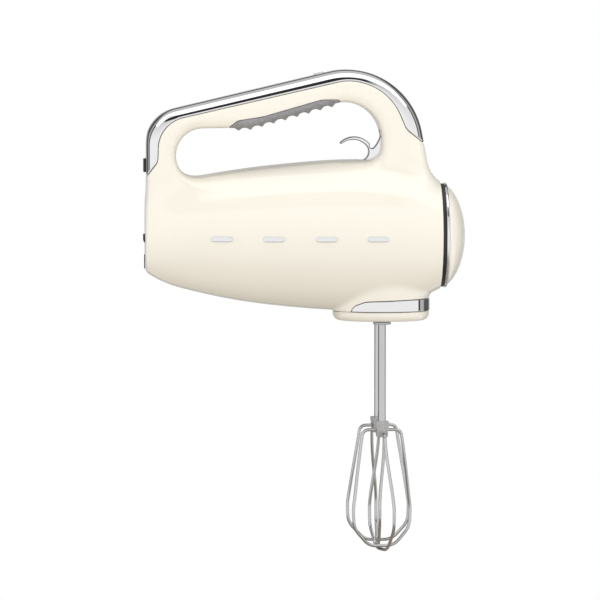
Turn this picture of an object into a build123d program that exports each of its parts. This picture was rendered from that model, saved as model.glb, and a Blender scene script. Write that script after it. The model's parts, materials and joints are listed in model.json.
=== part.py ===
"""Electric hand mixer with a loop handle, a bullet body and two wire whisks.

Millimetres. +X runs to the nose, +Z up, and Y across: the right-hand side of the mixer is -Y.
The origin is the middle of the hand grip, in the plane where the two housing halves meet.
"""
import os
from math import atan, cos, degrees, pi, radians, sin, sqrt

from build123d import *

os.makedirs("parts", exist_ok=True)

# ---- body shell -------------------------------------------------------------------------------
AXIS_Z = -84.5  # height of the motor axis, which is also the axis of the bullet body
REAR_X = -87.5  # flat heel that the mixer stands on
RING_X = 96.8  # front edge of the housings
WALL = 2.4
# x, half height and half width of the body's oval sections
BODY_SECTIONS = [
    (-87.5, 22.5, 20.5),
    (-80.0, 27.0, 24.5),
    (-60.0, 34.0, 30.6),
    (-30.0, 40.4, 36.3),
    (5.0, 44.8, 40.2),
    (37.5, 46.6, 41.5),
    (70.0, 43.2, 40.0),
    (85.0, 38.9, 37.2),
    (96.8, 33.4, 33.4),
]

# ---- nose -------------------------------------------------------------------------------------
GASKET_THICK = 2.2
RING_THICK = 2.0
RING_R = 32.8
SPIGOT_R = 30.4
DOME_R = 31.4
NOSE_TIP_X = 112.5

# ---- loop handle ------------------------------------------------------------------------------
HANDLE_HALF = 17.0  # half width of the handle
OUTER_EDGE_R = 10.5
INNER_EDGE_R = 7.0
HEEL_TOP_Z = -9.4  # where the lines of the heel and of the handle's top would meet
CREST_X, CREST_Z = 76.3, 29.3  # where the lines of the top and of the front post would meet
HANDLE_OUTLINE = [
    (REAR_X, -92),
    (REAR_X, HEEL_TOP_Z),
    (CREST_X, CREST_Z),
    (90.6, -50),
    (84, -92),
]
HANDLE_RADII = [2, 24, 48, 2, 2]
OPENING_OUTLINE = [(-68.2, -51), (-68.2, -17.8), (-23, -17.2), (33, -1.5), (59.6, -1), (59.6, -39.5)]
OPENING_RADII = [15, 17, 30, 20, 23, 13]
TRIM_BORDER = [(-95, -58), (-79.6, -38.5), (-79, -14.3), (40, 12.9), (64.5, 6), (75, -18.5), (95, -33.5)]
TRIM_RADII = [8, 20, 30, 34, 10]
TRIM_THICK = 2.0
PAD_BORDER = [(-38, -19.5), (-30, -12.9), (-14, -10.4), (22, 0), (33, 0), (35.6, -3)]
PAD_RADII = [4, 20, 15, 3]
PAD_THICK = 2.5
GRIP_WALL = 4.3  # housing wall in the handle, deep enough for the trim and the pad to be let in
NUB_PITCH = 7.25
NUB_COUNT = 9
NUB_HEIGHT = 1.7

# ---- whisk drive ------------------------------------------------------------------------------
SPINDLE_X = 59.5
SPINDLE_Y = 19.0
SPINDLE_R = 4.4
SPINDLE_TOP_Z = -71.5
SPINDLE_BASE_Z = -139.4
SOCKET_R = 2.42  # bore of a spindle
WHISK_SHAFT_R = 2.35
RUNNING_GAP = 0.06
GEAR_TEETH = 30
GEAR_PITCH_R = 14.5
GEAR_WIDTH = 4.6
LEAD = 2 * pi * GEAR_PITCH_R / GEAR_TEETH  # one start, so the lead is one circular pitch
ADDENDUM = 0.75
DEDENDUM = 0.95
TIP_HALF = 0.4  # half thickness of a tooth or thread at its tip
ROOT_HALF = 0.95
WORM_TURNS = 6
SHAFT_R = 2.5
COVER_Z = -78.2
FLOOR_Z = -96.0
PLATE = 3.5
POST_X, POST_Y = 17.0, 6.5

# ---- motor ------------------------------------------------------------------------------------
CAN_R = 25.0
CAN_REAR_X, CAN_FRONT_X = -52.0, 22.0
BELL = 3.5
ARMATURE_R = 17.8
MAGNET_R = 18.6

# ---- collar -----------------------------------------------------------------------------------
COLLAR_X = 60.0
COLLAR_RX = 30.2
COLLAR_RY = 29.0
COLLAR_SEAM_Z = -131.4
COLLAR_BASE_Z = -137.5
COLLAR_FLOOR = 3.0
BAND_TOP_Z = -124.0

# ---- whisks -----------------------------------------------------------------------------------
WIRE_R = 1.0
WHISK_TOP_Z = -96.0
HUB_TOP_Z = -199.5
HUB_BASE_Z = -209.4
HUB_R = 3.6
SHAFT_BITE = 3.6  # length of the shaft inside the hub
FIN_R = 5.3
WIRE_ROOT_Z = -204.9
WIRE_STEP = 2.2  # drop from one loop to the other where they cross
LOOP_RADII = [4, 40, 22, 12, 11]
WHISK_BASE_Z = -280.6
BASKET_R = 19.3
NEAR_PHASE = 15.0  # turn of the near whisk's first loop from the X axis, in degrees
FAR_PHASE = 8.0

# ---- controls ---------------------------------------------------------------------------------
PIVOT_X, PIVOT_Z = 64.0, -38.0
LEVER_HALF = 5.4
PIN_R = 1.5
BUTTON_X = 21.0
BUTTON_Y = 4.4
BUTTON_R = 3.3
BUTTON_DEPTH = 4.9

# ---- fixings ----------------------------------------------------------------------------------
BOSS_PLACES = [(-74.5, -30), (67.5, -14), (-20, -52.5), (-20, -118), (-72, -103.5)]
BOSS_R = 3.8
SCREW_R = 1.5
SCREW_HEAD_R = 2.8
SCREW_HEAD = 1.8

top_slope = (CREST_Z - HEEL_TOP_Z) / (CREST_X - REAR_X)
top_angle = degrees(atan(top_slope))
BODY_PLANE = Plane(origin=(0, 0, AXIS_Z), x_dir=(0, 1, 0), z_dir=(1, 0, 0))
BUTTON_PLANE = Plane(
    origin=(BUTTON_X, 0, HEEL_TOP_Z + top_slope * (BUTTON_X - REAR_X)),
    x_dir=(cos(radians(top_angle)), 0, sin(radians(top_angle))),
    z_dir=(-sin(radians(top_angle)), 0, cos(radians(top_angle))),
)
ROOMY = 60  # half width of a cutting block that has to pass right through the mixer


def finish(builder, label):
    """Label a finished piece and write its STEP file."""
    builder.part.label = label
    export_step(builder.part, f"parts/{label}.step")


def body_solid(inset=0.0, overrun=0.0):
    """Bullet body: a loft through its oval sections, shrunk by inset on every side."""
    with BuildPart() as body:
        for x, half_height, half_width in BODY_SECTIONS:
            station = x
            if x == REAR_X:
                station = x + inset
            if x == RING_X:
                station = x + overrun
            with BuildSketch(BODY_PLANE.offset(station)):
                Ellipse(half_width - inset, half_height - inset)
        loft()
    return body.part


def handle_solid(inset=0.0):
    """Loop handle with rounded edges, shrunk by inset on every side."""
    side = HANDLE_HALF - inset - 0.01
    with BuildPart() as loop:
        with BuildSketch(Plane.XZ):
            with BuildLine():
                FilletPolyline(*HANDLE_OUTLINE, radius=HANDLE_RADII, close=True)
            make_face()
            if inset:
                offset(amount=-inset)
        extrude(amount=HANDLE_HALF - inset, both=True)
        fillet(loop.edges().filter_by(lambda e: abs(e.center().Y) > side), OUTER_EDGE_R - inset)
        with BuildSketch(Plane.XZ):
            with BuildLine():
                FilletPolyline(*OPENING_OUTLINE, radius=OPENING_RADII, close=True)
            make_face()
            if inset:
                offset(amount=inset)
        extrude(amount=2 * HANDLE_HALF, both=True, mode=Mode.SUBTRACT)
        rim = loop.edges().filter_by(lambda e: abs(e.center().Y) > side and on_opening(e.center(), inset))
        fillet(rim, INNER_EDGE_R - inset)
    return loop.part


def on_opening(point, inset):
    """True for a point on the rim of the handle's opening."""
    return -69.5 - inset < point.X < 60.5 + inset and -52.5 - inset < point.Z < 0.5 + inset


def zone(points, radii, closing):
    """Everything on one side of a rounded border in the XZ plane, as a block through the mixer."""
    with BuildPart() as block:
        with BuildSketch(Plane.XZ):
            with BuildLine():
                border = FilletPolyline(*points, radius=radii)
                Polyline(border @ 1, *closing, border @ 0)
            make_face()
        extrude(amount=ROOMY, both=True)
    return block.part


def neck_solid(inset, low_z, high_z):
    """Oval column under the body that carries the collar."""
    with BuildPart() as neck:
        with BuildSketch(Plane.XY.offset(low_z)):
            with Locations((COLLAR_X, 0)):
                Ellipse(COLLAR_RX - inset, COLLAR_RY - inset)
        extrude(amount=high_z - low_z)
    return neck.part


def cross_screw(reach):
    """Screw across the housings: head towards +Y, centred on the parting plane."""
    with BuildPart() as screw:
        with BuildSketch(Plane.XZ.offset(-reach)):
            Circle(SCREW_HEAD_R - 0.2)
        extrude(amount=SCREW_HEAD)
        with BuildSketch(Plane.XZ.offset(-reach)):
            Circle(SCREW_R)
        extrude(amount=2 * reach - 3)
        with BuildSketch(Plane.XZ.offset(-reach)):
            Rectangle(3.2, 0.7)
            Rectangle(0.7, 3.2)
        extrude(amount=1.0, mode=Mode.SUBTRACT)
    return screw.part


def half_width_at(x, z):
    """Half width of the mixer's skin at a screw boss, in the handle or in the body."""
    if z > -45:
        return HANDLE_HALF
    sections = zip(BODY_SECTIONS, BODY_SECTIONS[1:])
    (x0, h0, w0), (x1, h1, w1) = next(pair for pair in sections if pair[0][0] <= x <= pair[1][0])
    part = (x - x0) / (x1 - x0)
    height, width = h0 + part * (h1 - h0), w0 + part * (w1 - w0)
    return width * sqrt(1 - ((z - AXIS_Z) / height) ** 2)


# ---- solids that several pieces are cut from --------------------------------------------------
body = body_solid()
loop = handle_solid()
trim_zone = zone(TRIM_BORDER, TRIM_RADII, [(110, -35), (110, 50), (-110, 50), (-110, -58)])
pad_zone = zone(PAD_BORDER, PAD_RADII, [(35.6, -26), (-38, -26)])

with BuildPart() as window_zone:
    with BuildSketch(Plane.XY.offset(5)):
        with Locations((38.5, 0)):
            SlotOverall(20, 11)
    extrude(amount=30)

with BuildPart() as button_holes:
    with BuildSketch(BUTTON_PLANE):
        with Locations((0, -BUTTON_Y), (0, BUTTON_Y)):
            Circle(BUTTON_R + 0.2)
    extrude(amount=8, both=True)

# ---- chrome trim over the top of the handle ---------------------------------------------------
with BuildPart() as handle_trim:
    add(loop)
    add(trim_zone, mode=Mode.INTERSECT)
    add(handle_solid(TRIM_THICK), mode=Mode.SUBTRACT)
    add(window_zone.part, mode=Mode.SUBTRACT)
    add(button_holes.part, mode=Mode.SUBTRACT)

with BuildPart() as display_window:
    add(loop)
    add(window_zone.part, mode=Mode.INTERSECT)
    add(handle_solid(TRIM_THICK), mode=Mode.SUBTRACT)

# ---- soft grip under the handle ---------------------------------------------------------------
with BuildPart() as grip_pad:
    add(loop)
    add(pad_zone, mode=Mode.INTERSECT)
    add(handle_solid(PAD_THICK), mode=Mode.SUBTRACT)
    for i in range(NUB_COUNT):
        x = -29.2 + i * NUB_PITCH
        z = -16.6 + max(0.0, x + 20) * 0.293
        with Locations((x, -8.5, z), (x, 0, z), (x, 8.5, z)):
            Cone(0.5, 2.3, NUB_HEIGHT + 1.0, align=(Align.CENTER, Align.CENTER, Align.MAX))

# ---- plain chrome bars on both sides of the body ----------------------------------------------
with BuildPart() as side_marks:
    add(body_solid(-0.7))
    with BuildSketch(Plane.XZ):
        with Locations(*[(x, -85.6) for x in (-40.5, -8.5, 24, 56)]):
            SlotOverall(13.5, 3.4)
    extrude(amount=ROOMY, both=True, mode=Mode.INTERSECT)
    add(body, mode=Mode.SUBTRACT)

# ---- collar -----------------------------------------------------------------------------------
with BuildPart() as collar_trim:
    add(neck_solid(-0.3, COLLAR_SEAM_Z, BAND_TOP_Z + 0.6))
    add(neck_solid(1.2, COLLAR_SEAM_Z, BAND_TOP_Z + 0.6), mode=Mode.SUBTRACT)
    with BuildSketch(Plane.XZ):
        with BuildLine():
            swell = ThreePointArc((41, COLLAR_SEAM_Z), (44, -127.3), (52.5, BAND_TOP_Z - 0.3))
            Polyline(swell @ 1, (95, BAND_TOP_Z + 0.5), (95, COLLAR_SEAM_Z), swell @ 0)
        make_face()
    extrude(amount=ROOMY, both=True, mode=Mode.INTERSECT)

with BuildPart() as base_collar:
    add(neck_solid(0, COLLAR_BASE_Z, COLLAR_SEAM_Z))
    fillet(base_collar.edges().group_by(Axis.Z)[0], 4.5)
    add(neck_solid(WALL, COLLAR_BASE_Z + COLLAR_FLOOR, COLLAR_SEAM_Z), mode=Mode.SUBTRACT)
    with Locations((SPINDLE_X, -SPINDLE_Y, COLLAR_BASE_Z), (SPINDLE_X, SPINDLE_Y, COLLAR_BASE_Z)):
        Cylinder(SPINDLE_R + 0.5, 20, mode=Mode.SUBTRACT)

# ---- housing halves ---------------------------------------------------------------------------
GLAND_Z = -100.6
GLAND_R = 3.6
FLANGE = 0.4

with BuildPart() as lever_slot:
    with BuildSketch(Plane.XZ):
        with Locations((57, -30.4)):
            Rectangle(22, 23)
    extrude(amount=LEVER_HALF + 0.6, both=True)

with BuildPart() as skin:
    add(body)
    add(loop)
    add(neck_solid(0, COLLAR_SEAM_Z, -100))

with BuildPart() as shell:
    add(skin.part)
    add(body_solid(WALL, overrun=5), mode=Mode.SUBTRACT)
    add(handle_solid(GRIP_WALL), mode=Mode.SUBTRACT)
    add(neck_solid(WALL, COLLAR_SEAM_Z - 1, -100), mode=Mode.SUBTRACT)
    add(handle_trim.part, mode=Mode.SUBTRACT)
    add(display_window.part, mode=Mode.SUBTRACT)
    add(grip_pad.part, mode=Mode.SUBTRACT)
    add(collar_trim.part, mode=Mode.SUBTRACT)
    add(button_holes.part, mode=Mode.SUBTRACT)
    add(lever_slot.part, mode=Mode.SUBTRACT)
    with BuildSketch(Plane.XY.offset(5)):
        with Locations((38.5, 0)):
            RectangleRounded(17, 8.4, 1)
    extrude(amount=14, mode=Mode.SUBTRACT)
    with Locations(Location((REAR_X, 0, GLAND_Z), (0, 90, 0))):
        Cylinder(GLAND_R, 12, mode=Mode.SUBTRACT)

# Ribs that carry the motor, one behind and one in front of its middle.
with BuildPart() as motor_ribs:
    add(body_solid(WALL - 0.4))
    with BuildSketch(BODY_PLANE.offset(-44), BODY_PLANE.offset(12)):
        Rectangle(2 * ROOMY, 2 * ROOMY)
    extrude(amount=3, mode=Mode.INTERSECT)
    with BuildSketch(BODY_PLANE.offset(-60)):
        Circle(CAN_R + 2.5)
    extrude(amount=100, mode=Mode.SUBTRACT)

with BuildPart() as bosses:
    for x, z in BOSS_PLACES:
        with BuildSketch(Plane.XZ):
            with Locations((x, z)):
                Circle(BOSS_R)
        extrude(amount=half_width_at(x, z) - 1.4, both=True)
    for side in (-1, 1):
        with BuildSketch(Plane.XZ.offset(side * (LEVER_HALF + 1.1))):
            with Locations((PIVOT_X, PIVOT_Z)):
                Circle(4)
        extrude(amount=side * 7.3)
    add(skin.part, mode=Mode.INTERSECT)

with BuildPart() as screw_holes:
    for x, z in BOSS_PLACES:
        reach = half_width_at(x, z) - 3.0
        with BuildSketch(Plane.XZ.offset(-reach)):
            with Locations((x, z)):
                Circle(SCREW_R)
        extrude(amount=2 * reach - 3)
        with BuildSketch(Plane.XZ.offset(SCREW_HEAD - reach)):
            with Locations((x, z)):
                Circle(SCREW_HEAD_R)
        extrude(amount=-14)
    with BuildSketch(Plane.XZ):
        with Locations((PIVOT_X, PIVOT_Z)):
            Circle(PIN_R)
    extrude(amount=11.5, both=True)

with BuildPart() as left_housing:
    add(shell.part)
    add(motor_ribs.part)
    add(bosses.part)
    add(screw_holes.part, mode=Mode.SUBTRACT)
    split(bisect_by=Plane.XZ, keep=Keep.BOTTOM)

with BuildPart() as right_housing:
    add(shell.part)
    add(motor_ribs.part)
    add(bosses.part)
    add(screw_holes.part, mode=Mode.SUBTRACT)
    split(bisect_by=Plane.XZ, keep=Keep.TOP)

with BuildPart() as housing_screws:
    for x, z in BOSS_PLACES:
        with Locations((x, 0, z)):
            add(cross_screw(half_width_at(x, z) - 3.0))

# ---- nose -------------------------------------------------------------------------------------
GASKET_END = RING_X + GASKET_THICK
RING_END = GASKET_END + RING_THICK

with BuildPart() as nose_gasket:
    with BuildSketch(BODY_PLANE.offset(RING_X)):
        Circle(RING_R - 0.5)
        Circle(SPIGOT_R, mode=Mode.SUBTRACT)
    extrude(amount=GASKET_THICK)

with BuildPart() as nose_ring:
    with BuildSketch(BODY_PLANE.offset(GASKET_END)):
        Circle(RING_R)
    extrude(amount=RING_THICK)
    fillet(nose_ring.edges(), 0.6)
    with BuildSketch(BODY_PLANE.offset(GASKET_END)):
        Circle(SPIGOT_R)
    extrude(amount=RING_THICK, mode=Mode.SUBTRACT)

with BuildPart() as nose_cap:
    with BuildSketch(Plane.XZ):
        with BuildLine():
            Line((91, AXIS_Z + 28.2), (91, AXIS_Z + SPIGOT_R))
            Line((91, AXIS_Z + SPIGOT_R), (RING_END, AXIS_Z + SPIGOT_R))
            Line((RING_END, AXIS_Z + SPIGOT_R), (RING_END, AXIS_Z + DOME_R - 0.6))
            crown = Spline(
                (RING_END, AXIS_Z + DOME_R - 0.6),
                (108.3, AXIS_Z + 21.4),
                (NOSE_TIP_X, AXIS_Z),
                tangents=[(0.62, -0.78), (0, -1)],
            )
            Line(crown @ 1, (NOSE_TIP_X - WALL, AXIS_Z))
            hollow = ThreePointArc((NOSE_TIP_X - WALL, AXIS_Z), (106, AXIS_Z + 20), (RING_END - 1, AXIS_Z + 28.2))
            Line(hollow @ 1, (91, AXIS_Z + 28.2))
        make_face()
    revolve(axis=Axis((0, 0, AXIS_Z), (1, 0, 0)))

# ---- heel -------------------------------------------------------------------------------------
with BuildPart() as heel_feet:
    with BuildSketch(Plane.YZ.offset(REAR_X)):
        with Locations((0, -40.6)):
            RectangleRounded(9, 8.6, 2.5)
        with Locations((-11.5, -86), (11.5, -86)):
            RectangleRounded(8, 4.4, 2)
    extrude(amount=-0.9)

with BuildPart() as cord_gland:
    with Locations(Location((REAR_X - FLANGE, 0, GLAND_Z), (0, 90, 0))):
        Cylinder(GLAND_R + 0.9, FLANGE, align=(Align.CENTER, Align.CENTER, Align.MIN))
        Cylinder(GLAND_R, 9, align=(Align.CENTER, Align.CENTER, Align.MIN))
        Cylinder(2.9, 9, align=(Align.CENTER, Align.CENTER, Align.MIN), mode=Mode.SUBTRACT)

with BuildPart() as control_board:
    with BuildSketch(Plane.YZ.offset(-79.5)):
        with Locations((0, -82)):
            Rectangle(26, 26)
    extrude(amount=1.6)
    with Locations((-76.4, 0, -75)):
        Box(3, 20, 8)
    with Locations((-75.4, -7, -87), (-75.4, 7, -87)):
        Box(5, 8, 8)

# ---- motor ------------------------------------------------------------------------------------
with BuildPart() as motor_can:
    with BuildSketch(BODY_PLANE.offset(CAN_REAR_X)):
        Circle(CAN_R)
        Circle(CAN_R - 1.5, mode=Mode.SUBTRACT)
    extrude(amount=CAN_FRONT_X - CAN_REAR_X)

with BuildPart() as field_magnets:
    with BuildSketch(BODY_PLANE.offset(-36)):
        Circle(CAN_R - 1.5)
        Circle(MAGNET_R, mode=Mode.SUBTRACT)
        Rectangle(16, 60, mode=Mode.SUBTRACT)
    extrude(amount=46)

with BuildPart() as front_bell:
    with BuildSketch(BODY_PLANE.offset(CAN_FRONT_X)):
        Circle(CAN_R)
    extrude(amount=BELL)
    with BuildSketch(BODY_PLANE.offset(CAN_FRONT_X)):
        Circle(8.5)
    extrude(amount=8)
    with BuildSketch(BODY_PLANE.offset(CAN_FRONT_X)):
        Circle(6)
        with PolarLocations(17, 6, start_angle=30):
            Circle(3.2)
    extrude(amount=9, mode=Mode.SUBTRACT)

with BuildPart() as rear_bell:
    with BuildSketch(BODY_PLANE.offset(CAN_REAR_X)):
        Circle(CAN_R)
    extrude(amount=-BELL)
    with BuildSketch(BODY_PLANE.offset(CAN_REAR_X)):
        Circle(6)
        with PolarLocations(17, 6, start_angle=30):
            Circle(3.2)
    extrude(amount=-BELL, mode=Mode.SUBTRACT)

with BuildPart() as motor_bearings:
    for start, length in ((CAN_REAR_X - BELL, BELL), (CAN_FRONT_X, 8)):
        with BuildSketch(BODY_PLANE.offset(start)):
            Circle(6)
            Circle(SHAFT_R + RUNNING_GAP, mode=Mode.SUBTRACT)
        extrude(amount=length)

with BuildPart() as brush_holders:
    with Locations((-45, -14.6, AXIS_Z), (-45, 14.6, AXIS_Z)):
        Box(9, 13.8, 8)
        Box(6.4, 14, 5.4, mode=Mode.SUBTRACT)

with BuildPart() as carbon_brushes:
    with Locations((-45, -12.4, AXIS_Z), (-45, 12.4, AXIS_Z)):
        Box(6.2, 10.2, 5.2)

with BuildPart() as motor_screws:
    with BuildSketch(BODY_PLANE.offset(CAN_FRONT_X + BELL)):
        with PolarLocations(21.5, 4, start_angle=45):
            Circle(2.2)
    extrude(amount=1.6)

with BuildPart() as motor_shaft:
    with BuildSketch(BODY_PLANE.offset(-68)):
        Circle(SHAFT_R)
    extrude(amount=151)

with BuildPart() as armature_core:
    with BuildSketch(BODY_PLANE.offset(-32)):
        Circle(ARMATURE_R)
        with PolarLocations(ARMATURE_R - 3.5, 12):
            Rectangle(8, 2.2, mode=Mode.SUBTRACT)
        Circle(SHAFT_R, mode=Mode.SUBTRACT)
    extrude(amount=38)

with BuildPart() as armature_windings:
    with BuildSketch(BODY_PLANE.offset(-38), BODY_PLANE.offset(6)):
        Circle(15)
        Circle(SHAFT_R + 1.5, mode=Mode.SUBTRACT)
    extrude(amount=6)

with BuildPart() as commutator:
    with BuildSketch(BODY_PLANE.offset(-49)):
        Circle(7)
        with PolarLocations(7, 12):
            Rectangle(1.6, 0.5, mode=Mode.SUBTRACT)
        Circle(SHAFT_R, mode=Mode.SUBTRACT)
    extrude(amount=9)

with BuildPart() as cooling_fan:
    with BuildSketch(BODY_PLANE.offset(-66)):
        Circle(6)
    extrude(amount=8)
    with BuildSketch(BODY_PLANE.offset(-59.4)):
        Circle(21)
    extrude(amount=1.4)
    with BuildSketch(BODY_PLANE.offset(-66)):
        with PolarLocations(13, 9):
            Rectangle(15.6, 1.3, rotation=28)
    extrude(amount=6.8)
    with BuildSketch(BODY_PLANE.offset(-67)):
        Circle(SHAFT_R)
    extrude(amount=12, mode=Mode.SUBTRACT)

# ---- worm and wheels --------------------------------------------------------------------------
worm_start = SPINDLE_X - WORM_TURNS / 2 * LEAD
worm_pitch_r = SPINDLE_Y - GEAR_PITCH_R
worm_root_r = worm_pitch_r - DEDENDUM
worm_tip_r = worm_pitch_r + ADDENDUM
worm_length = WORM_TURNS * LEAD

# The worm is cut upright, its thread starting on the X axis, and then laid along the motor shaft.
with BuildPart() as upright_worm:
    with BuildLine() as thread_line:
        Helix(LEAD, worm_length, worm_root_r)
    with BuildSketch(Plane.XZ):
        with BuildLine():
            Polyline(
                (worm_root_r - 0.3, -ROOT_HALF),
                (worm_root_r, -ROOT_HALF),
                (worm_tip_r, -TIP_HALF),
                (worm_tip_r, TIP_HALF),
                (worm_root_r, ROOT_HALF),
                (worm_root_r - 0.3, ROOT_HALF),
                close=True,
            )
        make_face()
    sweep(path=thread_line.wires()[0], is_frenet=True)
    with Locations((0, 0, -1.5)):
        Cylinder(worm_root_r - 0.05, worm_length + 3, align=(Align.CENTER, Align.CENTER, Align.MIN))
    Cylinder(SHAFT_R, 60, mode=Mode.SUBTRACT)

with BuildPart() as worm:
    with Locations(BODY_PLANE.offset(worm_start).location):
        add(upright_worm.part)


def wheel(y, tooth_angle):
    """Worm wheel with straight teeth, one of them centred on tooth_angle, and a hub."""
    root_r = GEAR_PITCH_R - DEDENDUM
    tip_r = GEAR_PITCH_R + ADDENDUM
    with BuildPart() as gear:
        with BuildSketch(Plane.XY.offset(AXIS_Z - GEAR_WIDTH / 2)):
            with Locations((SPINDLE_X, y)):
                Circle(root_r)
                with PolarLocations(0, GEAR_TEETH, start_angle=tooth_angle):
                    Polygon(
                        (root_r - 0.4, -ROOT_HALF),
                        (root_r, -ROOT_HALF),
                        (tip_r, -TIP_HALF),
                        (tip_r, TIP_HALF),
                        (root_r, ROOT_HALF),
                        (root_r - 0.4, ROOT_HALF),
                        align=None,
                    )
                with PolarLocations(9.6, 6):
                    Circle(1.9, mode=Mode.SUBTRACT)
        extrude(amount=GEAR_WIDTH)
        with Locations((SPINDLE_X, y, AXIS_Z)):
            Cylinder(6.6, 10)
            Cylinder(SPINDLE_R, 12, mode=Mode.SUBTRACT)
    return gear.part


with BuildPart() as near_gear:
    add(wheel(-SPINDLE_Y, 90))

with BuildPart() as far_gear:
    add(wheel(SPINDLE_Y, -90 + 180 / GEAR_TEETH))


def spindle(y):
    """Hollow spindle with a shouldered bezel at its mouth."""
    with BuildPart() as tube:
        with Locations((SPINDLE_X, y, SPINDLE_BASE_Z)):
            Cylinder(SPINDLE_R, SPINDLE_TOP_Z - SPINDLE_BASE_Z, align=(Align.CENTER, Align.CENTER, Align.MIN))
            Cylinder(SPINDLE_R + 1.2, 1.5, align=(Align.CENTER, Align.CENTER, Align.MIN))
        fillet(tube.edges().group_by(Axis.Z)[0], 0.5)
        with Locations((SPINDLE_X, y, SPINDLE_BASE_Z)):
            Cylinder(SOCKET_R, 80, align=(Align.CENTER, Align.CENTER, Align.MIN), mode=Mode.SUBTRACT)
    return tube.part


with BuildPart() as near_spindle:
    add(spindle(-SPINDLE_Y))

with BuildPart() as far_spindle:
    add(spindle(SPINDLE_Y))

# ---- gearbox ----------------------------------------------------------------------------------
SPINDLE_PLACES = [(SPINDLE_X, -SPINDLE_Y), (SPINDLE_X, SPINDLE_Y)]
POST_PLACES = [(SPINDLE_X + i * POST_X, j * POST_Y) for i in (-1, 1) for j in (-1, 1)]
BUSH_R = 6.2
SEAT_HIGH_Z = -120.0


def gearbox_plate(base_z):
    """Flat plate that carries both spindles and the four posts."""
    with BuildPart() as plate:
        with BuildSketch(Plane.XY.offset(base_z)):
            with Locations((SPINDLE_X, 0)):
                SlotCenterToCenter(2 * SPINDLE_Y, 34, rotation=90)
                RectangleRounded(41, 20, 3)
        extrude(amount=PLATE)
    return plate.part


with BuildPart() as gearbox_base:
    add(gearbox_plate(FLOOR_Z))
    with Locations(*[(x, y, FLOOR_Z) for x, y in POST_PLACES]):
        Cylinder(2.4, COVER_Z - FLOOR_Z, align=(Align.CENTER, Align.CENTER, Align.MIN))
    with Locations((78.4, 0, FLOOR_Z)):
        Box(3, 15, 16, align=(Align.CENTER, Align.CENTER, Align.MIN))
    with Locations(*[(x, y, COLLAR_BASE_Z + COLLAR_FLOOR) for x, y in SPINDLE_PLACES]):
        Cylinder(7.4, FLOOR_Z - COLLAR_BASE_Z - COLLAR_FLOOR, align=(Align.CENTER, Align.CENTER, Align.MIN))
        Cylinder(SPINDLE_R + 0.5, 60, align=(Align.CENTER, Align.CENTER, Align.MIN), mode=Mode.SUBTRACT)
        Cylinder(BUSH_R, SEAT_HIGH_Z - COLLAR_BASE_Z - COLLAR_FLOOR,
                 align=(Align.CENTER, Align.CENTER, Align.MIN), mode=Mode.SUBTRACT)
    with Locations(*[(x, y, COVER_Z) for x, y in POST_PLACES]):
        Cylinder(1.2, 18, mode=Mode.SUBTRACT)
    with BuildSketch(BODY_PLANE.offset(76)):
        Circle(4)
    extrude(amount=6, mode=Mode.SUBTRACT)

with BuildPart() as worm_bush:
    with BuildSketch(BODY_PLANE.offset(76.9)):
        Circle(4)
        Circle(SHAFT_R + RUNNING_GAP, mode=Mode.SUBTRACT)
    extrude(amount=3)

with BuildPart() as gearbox_cover:
    add(gearbox_plate(COVER_Z))
    with Locations(*[(x, y, COVER_Z) for x, y in SPINDLE_PLACES]):
        Cylinder(BUSH_R, 20, mode=Mode.SUBTRACT)
    with Locations(*[(x, y, COVER_Z) for x, y in POST_PLACES]):
        Cylinder(1.2, 20, mode=Mode.SUBTRACT)

with BuildPart() as gearbox_screws:
    with Locations(*[(x, y, COVER_Z + PLATE) for x, y in POST_PLACES]):
        Cylinder(2.3, 1.5, align=(Align.CENTER, Align.CENTER, Align.MIN))
        Cylinder(1.2, 11, align=(Align.CENTER, Align.CENTER, Align.MAX))

with BuildPart() as upper_bushes:
    with Locations(*[(x, y, COVER_Z) for x, y in SPINDLE_PLACES]):
        Cylinder(BUSH_R, PLATE, align=(Align.CENTER, Align.CENTER, Align.MIN))
        Cylinder(SPINDLE_R + RUNNING_GAP, 20, mode=Mode.SUBTRACT)

with BuildPart() as lower_bushes:
    with Locations(*[(x, y, COLLAR_BASE_Z + COLLAR_FLOOR) for x, y in SPINDLE_PLACES]):
        Cylinder(BUSH_R, SEAT_HIGH_Z - COLLAR_BASE_Z - COLLAR_FLOOR, align=(Align.CENTER, Align.CENTER, Align.MIN))
        Cylinder(SPINDLE_R + RUNNING_GAP, 60, mode=Mode.SUBTRACT)

# ---- release mechanism ------------------------------------------------------------------------
with BuildPart() as release_lever:
    with BuildSketch(Plane.XZ):
        with BuildLine():
            back = Line((61.4, -20.2), (59.7, -20.2))
            hollow = TangentArc(back @ 1, (55.4, -29.6), tangent=(-0.1, -1))
            rise = TangentArc(hollow @ 1, (52.9, -27.6), tangent=hollow % 1)
            crest = ThreePointArc(rise @ 1, (43.4, -22.8), (34.6, -26.2))
            tip = ThreePointArc(crest @ 1, (34.3, -27.1), (35.3, -27.3))
            throat = ThreePointArc(tip @ 1, (43.3, -24.9), (51.3, -29.3))
            belly = ThreePointArc(throat @ 1, (51.9, -33.6), (47.6, -37.7))
            Polyline(belly @ 1, (51.5, -38.4), (60.5, -38.4), (63, -30), (61.8, -24), back @ 0)
        make_face()
    extrude(amount=LEVER_HALF, both=True)
    with BuildSketch(Plane.XZ):
        with Locations((PIVOT_X, PIVOT_Z)):
            Circle(3.6)
        with BuildLine():
            Polyline((62, -41), (74, -48.4), (77, -45.4), (65, -35), close=True)
        make_face()
    extrude(amount=3.2, both=True)
    with BuildSketch(Plane.XZ):
        with Locations((PIVOT_X, PIVOT_Z)):
            Circle(PIN_R + RUNNING_GAP)
    extrude(amount=10, both=True, mode=Mode.SUBTRACT)

with BuildPart() as lever_pin:
    with BuildSketch(Plane.XZ):
        with Locations((PIVOT_X, PIVOT_Z)):
            Circle(PIN_R)
    extrude(amount=11.5, both=True)

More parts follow.
